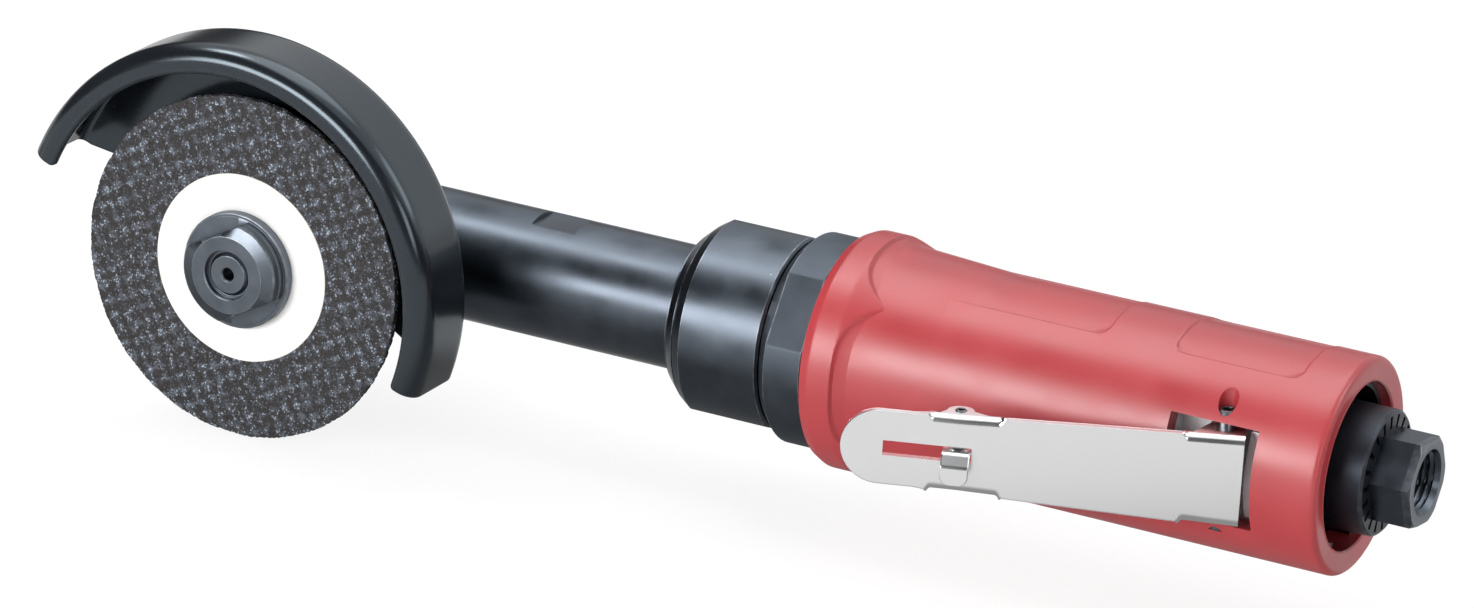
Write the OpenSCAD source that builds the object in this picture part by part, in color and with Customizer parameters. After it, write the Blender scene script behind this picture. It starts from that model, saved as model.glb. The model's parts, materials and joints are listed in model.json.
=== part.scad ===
// Right-angle pneumatic cut-off tool with an extension tube. Sizes are in millimetres.
// +X runs along the motor to the air inlet, the wheel faces -Y and +Z is up.
// The origin is the mouth of the inlet thread. Stations along X start at the
// crossing of the spindle and motor axes, and placed() moves them to the origin.

/* [Cut-off wheel] */
// Outer diameter of the wheel
wheel_d = 76.2; // [60:0.1:80]
// Thickness of the wheel
wheel_t = 1.6; // [1:0.1:3.2]
// Diameter of the spindle thread and of the wheel's arbor hole
arbor_d = 9.52; // [8:0.02:11]
// Diameter of the paper label
label_d = 41.6; // [32:0.1:56]
// Thickness of the paper label
label_t = 0.2; // [0.1:0.05:0.4]

/* [Wheel clamping] */
// Diameter of the inner flange and of the nut's flange
flange_d = 25.6; // [23:0.1:30]
// Thickness of the inner flange
inner_flange_t = 2.4; // [1.6:0.1:4]
// Thickness of the nut's flange
nut_flange_t = 2.2; // [1.4:0.1:4]
// Diameter of the nut's boss
nut_boss_d = 23.8; // [21:0.1:25.2]
// Distance across the nut's two flats
nut_af = 17.5; // [15:0.1:18.5]
// Height of the nut's boss
nut_boss_h = 3.7; // [3:0.1:6]
// Turn of the nut's flats about the spindle
nut_turn = 28.9; // [0:0.1:180]

/* [Guard] */
// Outer diameter of the guard
guard_d = 102; // [94:0.1:120]
// Depth of the guard from its back to its lip
guard_depth = 19; // [16:0.1:26]
// Thickness of the guard's sheet
guard_t = 2.5; // [1.5:0.1:3]
// Width of the lip that turns in at the front
guard_lip = 6.2; // [5:0.1:8]
// Outer corner radius of the pressed rim
guard_corner = 4; // [3.2:0.1:5]
// Angle that the guard covers
guard_span = 178; // [140:1:200]
// Angle of the guard's rear end from +X towards +Z
guard_start = -19.2; // [-40:0.1:10]
// Diameter of the guard's round collar on the neck
guard_collar_d = 46; // [42:0.1:56]
// Angle by which the plate's edges draw in from the rim's ends
guard_draw = 13.4; // [5:0.1:20]

/* [Angle head] */
// Outer diameter of the head's barrel
head_d = 34; // [33.4:0.1:40]
// Outer diameter of the neck that carries the guard
neck_d = 32; // [31:0.1:33]
// Thickness of the bearing retainer
retainer_t = 3.4; // [2.5:0.1:5]
// Thickness of the guard's clamp ring
clamp_t = 2.4; // [1.8:0.1:4]
// Outer diameter of the guard's clamp ring
clamp_d = 41; // [38:0.1:45]
// Thickness of the head cap outside its bearing
cap_wall = 2; // [1.5:0.1:4]

/* [Bevel gears] */
// Module of the bevel gears
gear_module = 1.3; // [1.2:0.02:1.34]
// Teeth on the pinion
pinion_teeth = 14; // [14:1:14]
// Teeth on the gear
gear_teeth = 18; // [18:1:18]
// Width of the teeth along the cone
gear_face = 4.5; // [3.5:0.1:5]

/* [Extension] */
// Outer diameter of the tube
tube_d = 26.9; // [26:0.1:30]
// Length of the tube from the head's arm to its shoulder
tube_len = 69.3; // [55:0.1:120]
// Diameter of the shoulder
shoulder_d = 34.3; // [32:0.1:35.4]
// Distance across the tube's wrench flats
flat_af = 25; // [24.2:0.1:25.8]
// Length of the wrench flats
flat_len = 10.5; // [6:0.1:16]
// Distance of the flats from the shoulder
flat_back = 28.8; // [20:0.1:40]

/* [Collar nut and lock ring] */
// Full diameter of the collar nut
collar_d = 43; // [42:0.1:44.4]
// Distance across the collar nut's flats
collar_af = 40.8; // [40:0.1:42]
// Length of the collar nut
collar_len = 23.3; // [18:0.1:26]
// Full diameter of the lock ring
ring_d = 45.2; // [44:0.1:47]
// Distance across the lock ring's flats
ring_af = 42.3; // [41:0.1:43.6]
// Length of the lock ring
ring_len = 10.9; // [7:0.1:14]
// Turn of the collar nut's flats about the motor axis
collar_turn = 112; // [0:0.1:180]
// Turn of the lock ring's flats about the motor axis
ring_turn = 33.5; // [0:0.1:180]
// Outer diameter of the thread that joins nut, ring and adapter
joint_d = 38; // [37.6:0.1:38.6]

/* [Grip] */
// Diameter of the grip
grip_d = 45.8; // [44.6:0.1:48]
// Diameter of the flange at the grip's front
grip_flange_d = 50.8; // [49:0.1:52]
// Length of the grip housing
grip_len = 115.7; // [112:0.1:130]
// Diameter of the motor bore
motor_bore_d = 37.2; // [37.2:0.1:38.4]
// Diameter of the opening at the rear
rear_bore_d = 35.2; // [34.8:0.1:36]
// Depth of the rear opening
rear_depth = 11.3; // [10.5:0.1:14]
// Radius of the four thumb scoops behind the front flange
scoop_r = 34; // [32:0.5:38]
// Depth of the two bare panels on top
panel_depth = 0.4; // [0.2:0.1:0.8]
// Angle that the panels cover
panel_span = 58; // [30:1:70]
// Length of the front panel
front_panel_len = 44; // [30:0.5:50]
// Length of the rear panel
rear_panel_len = 28; // [20:0.5:34]

/* [Motor] */
// Length of the motor cylinder
cylinder_len = 44; // [36:0.1:46]
// Diameter of the cylinder's bore
cylinder_bore_d = 29; // [28.4:0.1:29.6]
// Offset of the cylinder's bore from the rotor's axis
bore_offset = 1.5; // [1:0.1:1.6]
// Diameter of the rotor
rotor_d = 25.8; // [24:0.1:25.8]
// Number of vanes
vane_count = 4; // [3:1:6]
// Thickness of a vane
vane_t = 1.6; // [1.2:0.1:2]
// Diameter of the drive coupling
coupling_d = 14; // [12:0.1:15]
// Length of the drive coupling
coupling_len = 19; // [16:0.1:22]

/* [Throttle lever] */
// Length of the lever in front of its pivot
lever_len = 76.9; // [76:0.1:88]
// Length of the lever behind its pivot
lever_tail = 4.9; // [4:0.1:5.4]
// Width of the lever at its pivot
lever_w = 19.2; // [18.6:0.1:20]
// Width of the lever at its lock pin
lever_mid_w = 18.6; // [17.6:0.1:19.2]
// Width of the lever's round tip
lever_tip_w = 15.7; // [12:0.1:17]
// Thickness of the lever's sheet
lever_t = 1.6; // [1.2:0.1:1.8]
// Height of the lever's outer face above its pivot
lever_lift = 7.6; // [7.2:0.1:8.4]
// Angle that the released lever stands off the grip
lever_angle = 20; // [18:0.1:24]
// Diameter of the lever's pin
lever_pin_d = 4; // [3:0.1:4.2]
// Distance of the pivot from the grip's rear end
pivot_back = 22.6; // [22:0.1:24]
// Depth of the pivot below the motor axis, towards the lever
pivot_depth = 17.5; // [17:0.1:17.8]
// Width of the slot in the lever
slot_w = 3.2; // [3:0.1:4]
// Length of the slot in the lever
slot_len = 18; // [12:0.1:19]
// Distance of the lock pin from the pivot
lock_reach = 53.3; // [50:0.1:56]
// Height of the lock pin above the pivot
lock_lift = 3.6; // [3.4:0.1:3.8]
// Diameter of the lock pin
lock_pin_d = 2.4; // [2:0.1:2.8]

/* [Air inlet and exhaust] */
// Distance across the inlet's hexagon
hex_af = 17.5; // [15.4:0.1:19]
// Turn of the inlet's hexagon about the motor axis
hex_turn = 6; // [0:0.1:60]
// Length of the inlet's hexagon
hex_len = 8.9; // [6:0.1:14]
// Inner diameter of the inlet's thread
thread_d = 11.8; // [10.6:0.1:12]
// Length of the inlet's thread
thread_len = 13.5; // [10:0.1:15]
// Diameter of the inlet's shank
shank_d = 17; // [16:0.1:17.2]
// Diameter of the exhaust deflector's end
deflector_d = 26.4; // [25:0.1:28]
// Number of slots in the deflector's end
deflector_slots = 20; // [8:1:24]
// Distance of the deflector's end from the grip's rear end
deflector_reach = 5.8; // [3:0.1:10]

/* [Hidden] */
$fn = 72;

// Clearances: seats that stay put, fits that run, faces that pass each other, and open room
fit = 0.02;
run = 0.05;
face_gap = 0.1;
room = 0.4;

// Stock bearings, each as bore, outer diameter and width
main_bearing = [12, 28, 8];
cap_bearing = [6, 15, 5];
shaft_bearing = [8, 22, 7];
front_bearing = [10, 26, 8];

// Bevel gears: pitch radii, cone angles, cone distance and tooth heights
pinion_r = gear_module * pinion_teeth / 2;
gear_r = gear_module * gear_teeth / 2;
pinion_cone = atan(pinion_r / gear_r);
gear_cone = 90 - pinion_cone;
cone_dist = norm([pinion_r, gear_r]);
addendum = 0.8 * gear_module;
dedendum = 1.1 * gear_module;
tooth_half = 0.185 * PI * gear_module;
gear_hub_step = 2.1;
pinion_hub_step = 2.9;
pinion_tip = cone_point(pinion_cone, addendum);
gear_tip = cone_point(gear_cone, addendum);

// Stations along the spindle, measured from the crossing towards the wheel
gear_hub = 4.3;
neck_land = 1.1;
gear_back = pinion_r + gear_hub;
main_bearing_w = gear_back + face_gap;
retainer_w = main_bearing_w + main_bearing[2];
guard_w = retainer_w + retainer_t + neck_land;
clamp_w = guard_w + guard_t + face_gap;
neck_w = clamp_w + clamp_t;
inner_flange_w = neck_w + room;
wheel_w = inner_flange_w + inner_flange_t;
label_w = wheel_w + wheel_t;
nut_w = label_w + label_t;
boss_w = nut_w + nut_flange_t;
nut_end = boss_w + nut_boss_h;

// Head: cavity, cap and its bearing, which lie behind the crossing
cap_boss_wall = 1.8;
cap_plug_len = 2.6;
spindle_step = 1.5;
head_bore_r = gear_tip[1] + room;
cap_boss_r = cap_bearing[1] / 2 + cap_boss_wall;
cap_bearing_b = cap_boss_r * pinion_tip[1] / pinion_tip[0] + room;
cap_plug_b = pinion_tip[1] + 2 * room;
head_back = cap_plug_b + cap_plug_len;
cap_back = cap_bearing_b + cap_bearing[2] + cap_wall;
spindle_shoulder_r = main_bearing[0] / 2 + spindle_step;
recess_depth = 1.2;

// Stations along the motor axis, from the head to the grip
pinion_hub = 3.2;
arm_land = 1;
spigot_len = 10;
spigot_wall = 0.4;
shaft_setback = 5.6;
collar_step = 0.7;
collar_skirt = 6.7;
nose_len = 5.8;
ring_space = 0.3;
coupling_space = 1;
pinion_back = gear_r + pinion_hub;
pinion_bearing_x = pinion_back + face_gap;
arm_x = pinion_bearing_x + shaft_bearing[2] + arm_land;
spigot_x = arm_x + spigot_len;
spigot_r = shaft_bearing[1] / 2 + spigot_wall;
shoulder_x = arm_x + tube_len;
shaft_end_x = shoulder_x - shaft_setback;
tail_bearing_x = shaft_end_x - shaft_bearing[2];
flat_x = shoulder_x - flat_back - flat_len;
collar_x = shoulder_x + collar_step;
collar_seat_x = collar_x + collar_skirt;
adapter_x = collar_seat_x + nose_len;
collar_end_x = collar_x + collar_len;
ring_x = collar_end_x + ring_space;
ring_end_x = ring_x + ring_len;
grip_x = ring_end_x + face_gap;
coupling_x = shaft_end_x + coupling_space;
coupling_mid_x = coupling_x + coupling_len / 2;
coupling_end_x = coupling_x + coupling_len;
coupling_af = 6.4;

// Stations inside the grip
adapter_depth = 3.8;
plate_web = 2;
front_plate_x = grip_x + adapter_depth;
cylinder_x = front_plate_x + front_bearing[2] + plate_web;
rear_plate_x = cylinder_x + cylinder_len;
valve_body_x = rear_plate_x + shaft_bearing[2] + plate_web;
grip_end_x = grip_x + grip_len;
stop_x = grip_end_x - rear_depth;
grip_r = grip_d / 2;
motor_r = motor_bore_d / 2 - face_gap;
dowel_r = 1.25;
dowel_depth = 4;
dowel_inset = 2.8;
dowel_ring_r = motor_r - dowel_inset;
port_r = 2.2;
port_inset = 4.5;
port_depth = 5;
vane_foot_r = 6.3;

// Stations of the throttle valve
plunger_lead = 8.7;
stem_len = 10;
seat_t = 3;
seat_room = 2;
pivot_x = grip_end_x - pivot_back;
plunger_x = pivot_x - plunger_lead;
plunger_r = 2;
seat_x = plunger_x + stem_len;
disc_x = seat_x + seat_t + face_gap;
disc_r = 6;
disc_t = 2;
stem_r = 1.5;
stem_tip = 2.5;
valve_wire_d = 0.8;
valve_spring_r = 4.2;
chamber_r = disc_r + 3 * room;
shank_lead = 2;
inlet_x = stop_x + shank_lead;
way_r = 5.5;
exhaust_r = 2;
exhaust_inset = 3.8;
seal_r = 0.75;
seal_groove = 1.6;
pocket_front = 11.2;
pocket_rear = 8.3;
pocket_room = 1.15;
pocket_shelf = 4;
pocket_w = lever_w + 2 * pocket_room;
pocket_floor = pivot_depth - pocket_shelf;
plunger_rise = (lever_lift - lever_t - plunger_r - run * 4
    + (pivot_x - plunger_x) * sin(lever_angle)) / cos(lever_angle);

// Stations at the rear
deflector_end_x = grip_end_x + deflector_reach;
hex_end_x = deflector_end_x + hex_len;
thread_chamfer = 1.1;
origin_x = hex_end_x - thread_chamfer;
thread_x = origin_x - thread_len;
thread_step = 0.9;
feed_r = thread_d / 2 - thread_step;
boss_wall = 2;
boss_len = 8;
snap_lead = 2.3;
deflector_wall = 1.6;
deflector_web = 2.6;
body_boss_r = shank_d / 2 + boss_wall;
body_boss_x = stop_x + boss_len;
snap_x = stop_x + snap_lead;
snap_t = 1.4;
snap_bite = 0.5;
snap_gap = 30;
sleeve_t = 1.2;
sleeve_back = 2.8;

// Lock lever: dog below the pin, tab above the lever's face
lock_hub_r = 2.5;
lock_wire_d = 0.5;
lock_spring_len = 4.2;
dog_reach = 5.4;
dog_r = 0.8;
dog_lean = 15;
tab_rise = 3.2;
tab_r = lever_lift - lock_lift + tab_rise;
tab_t = 1.2;
tab_w = 5.2;
tab_len = 7.6;
slot_lead = 3;
lock_half = slot_w / 2 - 0.75 * room;
slot_x = lock_reach - slot_lead;
lock_ear_front = 4.7;
lock_ear_rear = 7;
pivot_ear_front = 16;
pivot_eye = 1.4;
lock_eye = 1.2;
pin_bite = 2.2;
pin_head = 0.4;

// Frames: the tool, the spindle (local z towards the wheel), the motor (local z along X)
module placed() {
    translate([-origin_x, 0, 0]) children();
}

module on_spindle() {
    rotate([90, 0, 0]) children();
}

module on_motor() {
    rotate([0, 90, 0]) children();
}

// Turns local x on the motor axis to an angle from -Y towards +Z
module facing(angle) {
    rotate([0, 0, 270 - angle]) children();
}

// Lever frame: local x to the lever's tip, local y away from the grip
module on_lever() {
    translate([pivot_x, -pivot_depth, 0]) rotate([0, 0, 180 + lever_angle]) children();
}

module on_lock() {
    on_lever() translate([lock_reach, lock_lift, 0]) children();
}

// Round stock between two stations on the local z axis
module rod(from, to, r) {
    translate([0, 0, from]) cylinder(h = to - from, r = r);
}

module ring(from, to, outer, inner) {
    difference() {
        rod(from, to, outer);
        rod(from - 1, to + 1, inner);
    }
}

// Six-sided stock with a distance across its flats
module hex_rod(from, to, across) {
    translate([0, 0, from]) cylinder(h = to - from, r = across / 2 / cos(30), $fn = 6);
}

// Removes what lies outside two parallel flats on the local y axis
module flats(from, to, across, reach) {
    for (side = [0, 180])
        rotate([0, 0, side]) translate([-reach, across / 2, from]) cube([2 * reach, reach, to - from]);
}

// Points of a quarter round, as radius and station
function quarter(centre, r, from) =
    [for (step = [0:6]) centre + r * [cos(from + step * 15), sin(from + step * 15)]];

// Point on a bevel gear's back cone at a height above the pitch line, as axial and radial
function cone_point(cone, height) =
    [cone_dist * cos(cone) - height * sin(cone), cone_dist * sin(cone) + height * cos(cone)];

// One straight tooth, whose faces all run to the crossing of the axes
module bevel_tooth(cone) {
    small = 1 - gear_face / cone_dist;
    sunk = 0.3;
    foot = cone_point(cone, -dedendum - sunk);
    tip = cone_point(cone, addendum);
    foot_half = tooth_half + (dedendum + sunk) * tan(20);
    tip_half = tooth_half - addendum * tan(20);
    section = [
        [foot[1], -foot_half, foot[0]],
        [foot[1], foot_half, foot[0]],
        [tip[1], tip_half, tip[0]],
        [tip[1], -tip_half, tip[0]]
    ];
    polyhedron(
        points = concat(section, small * section),
        faces = [[0, 1, 2, 3], [7, 6, 5, 4], [4, 5, 1, 0], [5, 6, 2, 1], [6, 7, 3, 2], [7, 4, 0, 3]]
    );
}

// Turned blank under the teeth, with a hub behind it
module bevel_blank(cone, hub_r, hub_end, bore_r) {
    outer = cone_point(cone, -dedendum);
    inner = outer * (1 - gear_face / cone_dist);
    hub_start = outer[0] + (outer[1] - hub_r) * 0.8;
    rotate_extrude() polygon([
        [bore_r, inner[0]],
        [inner[1], inner[0]],
        [outer[1], outer[0]],
        [hub_r, hub_start],
        [hub_r, hub_end],
        [bore_r, hub_end]
    ]);
}

// Deep-groove bearing, from its bore, outer diameter and width
function pitch_r(size) = (size[0] + size[1]) / 4;
function ball_r(size) = 0.15 * (size[1] - size[0]);
function ball_count(size) = floor(2 * PI * pitch_r(size) / (2.6 * ball_r(size)));

module race_groove(size) {
    rotate_extrude() translate([pitch_r(size), size[2] / 2]) circle(r = ball_r(size) + run);
}

module outer_race(size) {
    difference() {
        ring(0, size[2], size[1] / 2, pitch_r(size) + 0.56 * ball_r(size));
        race_groove(size);
    }
}

module inner_race(size) {
    difference() {
        ring(0, size[2], pitch_r(size) - 0.56 * ball_r(size), size[0] / 2);
        race_groove(size);
    }
}

module race_balls(size) {
    for (i = [0:ball_count(size) - 1])
        rotate([0, 0, i * 360 / ball_count(size)])
            translate([pitch_r(size), 0, size[2] / 2]) sphere(r = ball_r(size));
}

module bearing_seat(size, from) {
    rod(from, from + size[2], size[1] / 2 + fit);
}

// Coil spring along local z, one six-sided tube along a helix
module coil(mean_r, wire_d, length, turns) {
    sides = 6;
    steps = 12 * turns;
    function centre(i) =
        [mean_r * cos(i * 30), mean_r * sin(i * 30), wire_d / 2 + i * (length - wire_d) / steps];
    function ring_points(i) = [for (k = [0:sides - 1])
        centre(i) + wire_d / 2 * [
            cos(k * 60) * cos(i * 30), cos(k * 60) * sin(i * 30), sin(k * 60)]];
    points = [for (i = [0:steps]) each ring_points(i)];
    walls = [for (i = [0:steps - 1]) for (k = [0:sides - 1]) each [
        [i * sides + k, i * sides + (k + 1) % sides, (i + 1) * sides + k],
        [i * sides + (k + 1) % sides, (i + 1) * sides + (k + 1) % sides, (i + 1) * sides + k]
    ]];
    first_cap = [for (k = [1:sides - 2]) [0, k + 1, k]];
    last = steps * sides;
    last_cap = [for (k = [1:sides - 2]) [last, last + k, last + k + 1]];
    polyhedron(points = points, faces = concat(walls, first_cap, last_cap));
}

// Casings and joining rings

module grip_profile() {
    flange_r = grip_flange_d / 2;
    edge = 1.5;
    lead = [1.2, 2.4];
    flange_len = 9.4;
    flare_len = 6.8;
    polygon(concat(
        [
            [motor_bore_d / 2, grip_x],
            [flange_r - lead[0], grip_x],
            [flange_r, grip_x + lead[1]],
            [flange_r, grip_x + flange_len],
            [grip_r, grip_x + flange_len + flare_len]
        ],
        quarter([grip_r - edge, grip_end_x - edge], edge, 0),
        [
            [rear_bore_d / 2, grip_end_x],
            [rear_bore_d / 2, stop_x],
            [motor_bore_d / 2, stop_x]
        ]
    ));
}

// Hollow behind the front flange, turned about an axis beyond the grip's own
module thumb_scoop() {
    scoop_back = 11;
    scoop_x = grip_x + scoop_back;
    scoop_len = 20;
    hollow_r = 7;
    reach = 16;
    rotate_extrude() {
        translate([scoop_r, scoop_x]) square([reach, scoop_len]);
        translate([scoop_r + hollow_r, scoop_x - hollow_r]) square([reach - hollow_r, hollow_r + 1]);
        intersection() {
            translate([scoop_r + hollow_r, scoop_x]) circle(r = hollow_r);
            translate([scoop_r, scoop_x - hollow_r]) square([hollow_r, hollow_r]);
        }
    }
}

module top_panel(from, length) {
    facing(90 + panel_span / 2)
        rotate_extrude(angle = panel_span)
            translate([grip_r - panel_depth, from]) square([2, length]);
}

module grip_housing() placed() color("firebrick")
difference() {
    front_panel_x = grip_x + 18.4;
    rear_panel_x = grip_end_x - 38.3;
    snap_groove = 0.6;
    on_motor() difference() {
        rotate_extrude() grip_profile();
        for (angle = [0:90:270])
            facing(angle) translate([grip_r - scoop_r, 0, 0]) thumb_scoop();
        top_panel(front_panel_x, front_panel_len);
        top_panel(rear_panel_x, rear_panel_len);
        rod(snap_x - face_gap, snap_x + snap_t + face_gap, rear_bore_d / 2 + snap_groove);
    }
    translate([pivot_x - pocket_front, -grip_flange_d, -pocket_w / 2])
        cube([pocket_front + pocket_rear, grip_flange_d - pocket_floor, pocket_w]);
    translate([pivot_x, -pivot_depth, -pocket_w / 2 - pin_bite - face_gap])
        cylinder(h = grip_d, d = lever_pin_d + 2 * fit);
}

module front_adapter() placed() color("dimgray") on_motor()
difference() {
    union() {
        rod(adapter_x, grip_x - face_gap, joint_d / 2);
        rod(grip_x - face_gap, front_plate_x, motor_r);
    }
    rod(adapter_x - 1, front_plate_x + 1, coupling_d / 2 + 1);
}

module lock_ring() placed() color([0.1, 0.1, 0.11]) on_motor()
difference() {
    front_cut = [1.8, 1.9];
    rear_cut = [1, 0.7];
    rotate_extrude() polygon([
        [joint_d / 2 + run, ring_x],
        [ring_d / 2 - front_cut[0], ring_x],
        [ring_d / 2, ring_x + front_cut[1]],
        [ring_d / 2, ring_end_x - rear_cut[1]],
        [ring_d / 2 - rear_cut[0], ring_end_x],
        [joint_d / 2 + run, ring_end_x]
    ]);
    facing(ring_turn - 90) flats(ring_x - 1, ring_end_x + 1, ring_af, ring_d);
}

module collar_nut() placed() color([0.12, 0.12, 0.13]) on_motor()
difference() {
    lip = 0.6;
    cone = [2.9, 2.6];
    bevel_len = 2.3;
    edge = 0.6;
    rotate_extrude() polygon([
        [shoulder_d / 2 + run, collar_x],
        [shoulder_d / 2 + lip, collar_x],
        [shoulder_d / 2 + cone[0], collar_x + cone[1]],
        [collar_d / 2, collar_x + cone[1] + bevel_len],
        [collar_d / 2, collar_end_x - edge],
        [collar_d / 2 - edge, collar_end_x],
        [joint_d / 2 + run, collar_end_x],
        [joint_d / 2 + run, collar_seat_x],
        [shoulder_d / 2 + run, collar_seat_x]
    ]);
    facing(collar_turn - 90) flats(collar_x - 1, collar_end_x + 1, collar_af, collar_d);
}

module extension_housing() placed() color([0.13, 0.13, 0.14]) on_motor()
difference() {
    union() {
        rod(arm_x, shoulder_x, tube_d / 2);
        rod(shoulder_x, collar_seat_x, shoulder_d / 2);
        rod(collar_seat_x, adapter_x, joint_d / 2 - 0.5);
        tube_fillet();
    }
    rod(arm_x - 1, spigot_x + face_gap, spigot_r + fit);
    rod(arm_x, adapter_x, shaft_bearing[0] / 2 + 2);
    bearing_seat(shaft_bearing, tail_bearing_x);
    rod(shaft_end_x, adapter_x + 1, shaft_bearing[1] / 2 + fit);
    facing(0) flats(flat_x, flat_x + flat_len, flat_af, tube_d);
}

// Concave round between the tube and its shoulder
module tube_fillet() {
    round_r = (shoulder_d - tube_d) / 2;
    rotate_extrude() difference() {
        translate([tube_d / 2 - 1, shoulder_x - round_r]) square([round_r + 1, round_r + 0.1]);
        translate([shoulder_d / 2, shoulder_x - round_r]) circle(r = round_r);
    }
}

module angle_head() placed() color([0.13, 0.13, 0.14])
difference() {
    union() {
        on_spindle() {
            rod(-head_back, guard_w - face_gap, head_d / 2);
            rod(guard_w - face_gap - 1, neck_w, neck_d / 2);
        }
        on_motor() {
            rod(0, arm_x, tube_d / 2);
            rod(arm_x - 1, spigot_x, spigot_r);
        }
    }
    on_spindle() {
        rod(-head_back - 1, main_bearing_w + 1, head_bore_r);
        rod(main_bearing_w, neck_w + 1, main_bearing[1] / 2 + fit);
    }
    on_motor() {
        rod(0, pinion_bearing_x + shaft_bearing[2], shaft_bearing[1] / 2 + fit);
        rod(0, spigot_x + 1, shaft_bearing[1] / 2 - 2);
    }
}

module head_cap() placed() color([0.13, 0.13, 0.14]) on_spindle()
difference() {
    hole_r = 1.6;
    hole_depth = 1.2;
    union() {
        rod(-cap_back, -head_back - fit, head_d / 2);
        rod(-head_back - 1, -cap_plug_b, head_bore_r - run);
        rod(-head_back, -cap_bearing_b, cap_boss_r);
    }
    rod(-cap_bearing_b - cap_bearing[2], 0, cap_bearing[1] / 2 + fit);
    for (side = [-1, 1])
        translate([side * head_d / 3, 0, -cap_back]) cylinder(h = 2 * hole_depth, r = hole_r, center = true);
}

module bearing_retainer() placed() color("dimgray") on_spindle()
difference() {
    hole_r = 1.2;
    hole_depth = 1.5;
    hole_ring_r = (main_bearing[1] / 2 + spindle_shoulder_r + 2 * room) / 2;
    ring(retainer_w, retainer_w + retainer_t, main_bearing[1] / 2, spindle_shoulder_r + 2 * room);
    for (side = [-1, 1])
        translate([side * hole_ring_r, 0, retainer_w + retainer_t])
            cylinder(h = 2 * hole_depth, r = hole_r, center = true);
}

// Guard

// Section of the pressed cup: plate, rim and turned-in lip, as radius and station
module guard_section() {
    outer_r = guard_d / 2;
    lip_r = outer_r - guard_lip;
    front_w = guard_w + guard_depth;
    difference() {
        translate([neck_d / 2 + 2, guard_w]) square([outer_r - neck_d / 2 - 2, guard_depth]);
        translate([0, guard_w + guard_t]) square([lip_r + guard_t / 2, guard_depth]);
        rounded_hollow(outer_r - guard_t, guard_w + guard_t, front_w - guard_t);
        outer_corner(outer_r, guard_w, 1);
        outer_corner(outer_r, front_w, -1);
    }
    translate([lip_r + guard_t / 2, front_w - guard_t / 2]) circle(r = guard_t / 2);
}

// Inside of the rim between the plate and the lip, with round corners
module rounded_hollow(r, from, to) {
    round_r = guard_corner - guard_t;
    translate([0, from]) square([r - round_r, to - from]);
    translate([0, from + round_r]) square([r, to - from - 2 * round_r]);
    for (station = [from + round_r, to - round_r])
        translate([r - round_r, station]) circle(r = round_r);
}

// What a round outer corner takes off the rim
module outer_corner(r, station, inwards) {
    difference() {
        translate([r - guard_corner, min(station, station + inwards * guard_corner)])
            square([guard_corner + 1, guard_corner]);
        translate([r - guard_corner, station + inwards * guard_corner]) circle(r = guard_corner);
    }
}

module guard() placed() color([0.08, 0.08, 0.09]) on_spindle()
difference() {
    union() {
        difference() {
            rotate([0, 0, guard_start]) rotate_extrude(angle = guard_span) guard_section();
            rotate([0, 0, guard_start]) plate_edge(-guard_draw);
            rotate([0, 0, guard_start + guard_span]) plate_edge(guard_draw);
        }
        rod(guard_w, guard_w + guard_t, guard_collar_d / 2);
    }
    rod(guard_w - 1, guard_w + guard_t + 1, neck_d / 2 + run);
}

// Strip cut off the plate between a rim end's radius and a line turned from it
module plate_edge(turn) {
    reach = guard_d / 2 - guard_corner - 1;
    drop = reach * tan(abs(turn));
    translate([0, 0, guard_w - 1]) linear_extrude(guard_t + 2)
        polygon(turn < 0
            ? [[reach, -1], [reach, 0], [0, drop], [-reach, drop], [-reach, -1]]
            : [[reach, 1], [-reach, 1], [-reach, -drop], [0, -drop], [reach, 0]]);
}

module guard_clamp_ring() placed() color("dimgray") on_spindle()
difference() {
    notch_w = 3;
    notch_depth = 1.4;
    notch_floor = 0.6;
    ring(clamp_w, neck_w, clamp_d / 2, neck_d / 2 + fit);
    for (turn = [0:90:270])
        rotate([0, 0, turn])
            translate([clamp_d / 2 - notch_depth, -notch_w / 2, clamp_w + notch_floor])
                cube([2 * notch_depth, notch_w, clamp_t]);
}

// Wheel spindle

module spindle() placed() color("silver") on_spindle()
difference() {
    end_set = 0.6;
    centre_r = 1.35;
    centre_depth = 6;
    rotate_extrude() polygon([
        [0, -cap_bearing_b - cap_bearing[2]],
        [cap_bearing[0] / 2 - fit, -cap_bearing_b - cap_bearing[2]],
        [cap_bearing[0] / 2 - fit, -cap_bearing_b + face_gap],
        [main_bearing[0] / 2 - fit, -cap_bearing_b + face_gap],
        [main_bearing[0] / 2 - fit, retainer_w],
        [spindle_shoulder_r, retainer_w],
        [spindle_shoulder_r, inner_flange_w],
        [arbor_d / 2 - fit, inner_flange_w],
        [arbor_d / 2 - fit, nut_end - 2 * end_set],
        [arbor_d / 2 - end_set, nut_end - end_set],
        [0, nut_end - end_set]
    ]);
    rod(nut_end - centre_depth, nut_end, centre_r);
    key_slot(0);
}

// Place of the key between spindle and gear
module key_slot(gap) {
    key = [2, 2.2, 4];
    setback = 1;
    corner = [-key[0] / 2, main_bearing[0] / 2 - key[0] / 2, gear_back - setback - key[2]];
    translate(corner - gap * [1, 1, 1]) cube(key + 2 * gap * [1, 1, 1]);
}

module bevel_gear() placed() color("slategray") on_spindle()
difference() {
    union() {
        bevel_blank(gear_cone, gear_r - gear_hub_step, gear_back, main_bearing[0] / 2);
        for (i = [0:gear_teeth - 1])
            rotate([0, 0, (i + 0.5) * 360 / gear_teeth]) bevel_tooth(gear_cone);
    }
    rod(0, gear_back + 1, main_bearing[0] / 2);
    key_slot(0);
}

module gear_key() placed() color("silver") on_spindle() key_slot(-fit);

module inner_flange() placed() color("dimgray") on_spindle()
ring(inner_flange_w, wheel_w, flange_d / 2, arbor_d / 2);

module cutoff_wheel() placed() color([0.25, 0.25, 0.25]) on_spindle()
ring(wheel_w, label_w, wheel_d / 2, arbor_d / 2);

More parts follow.
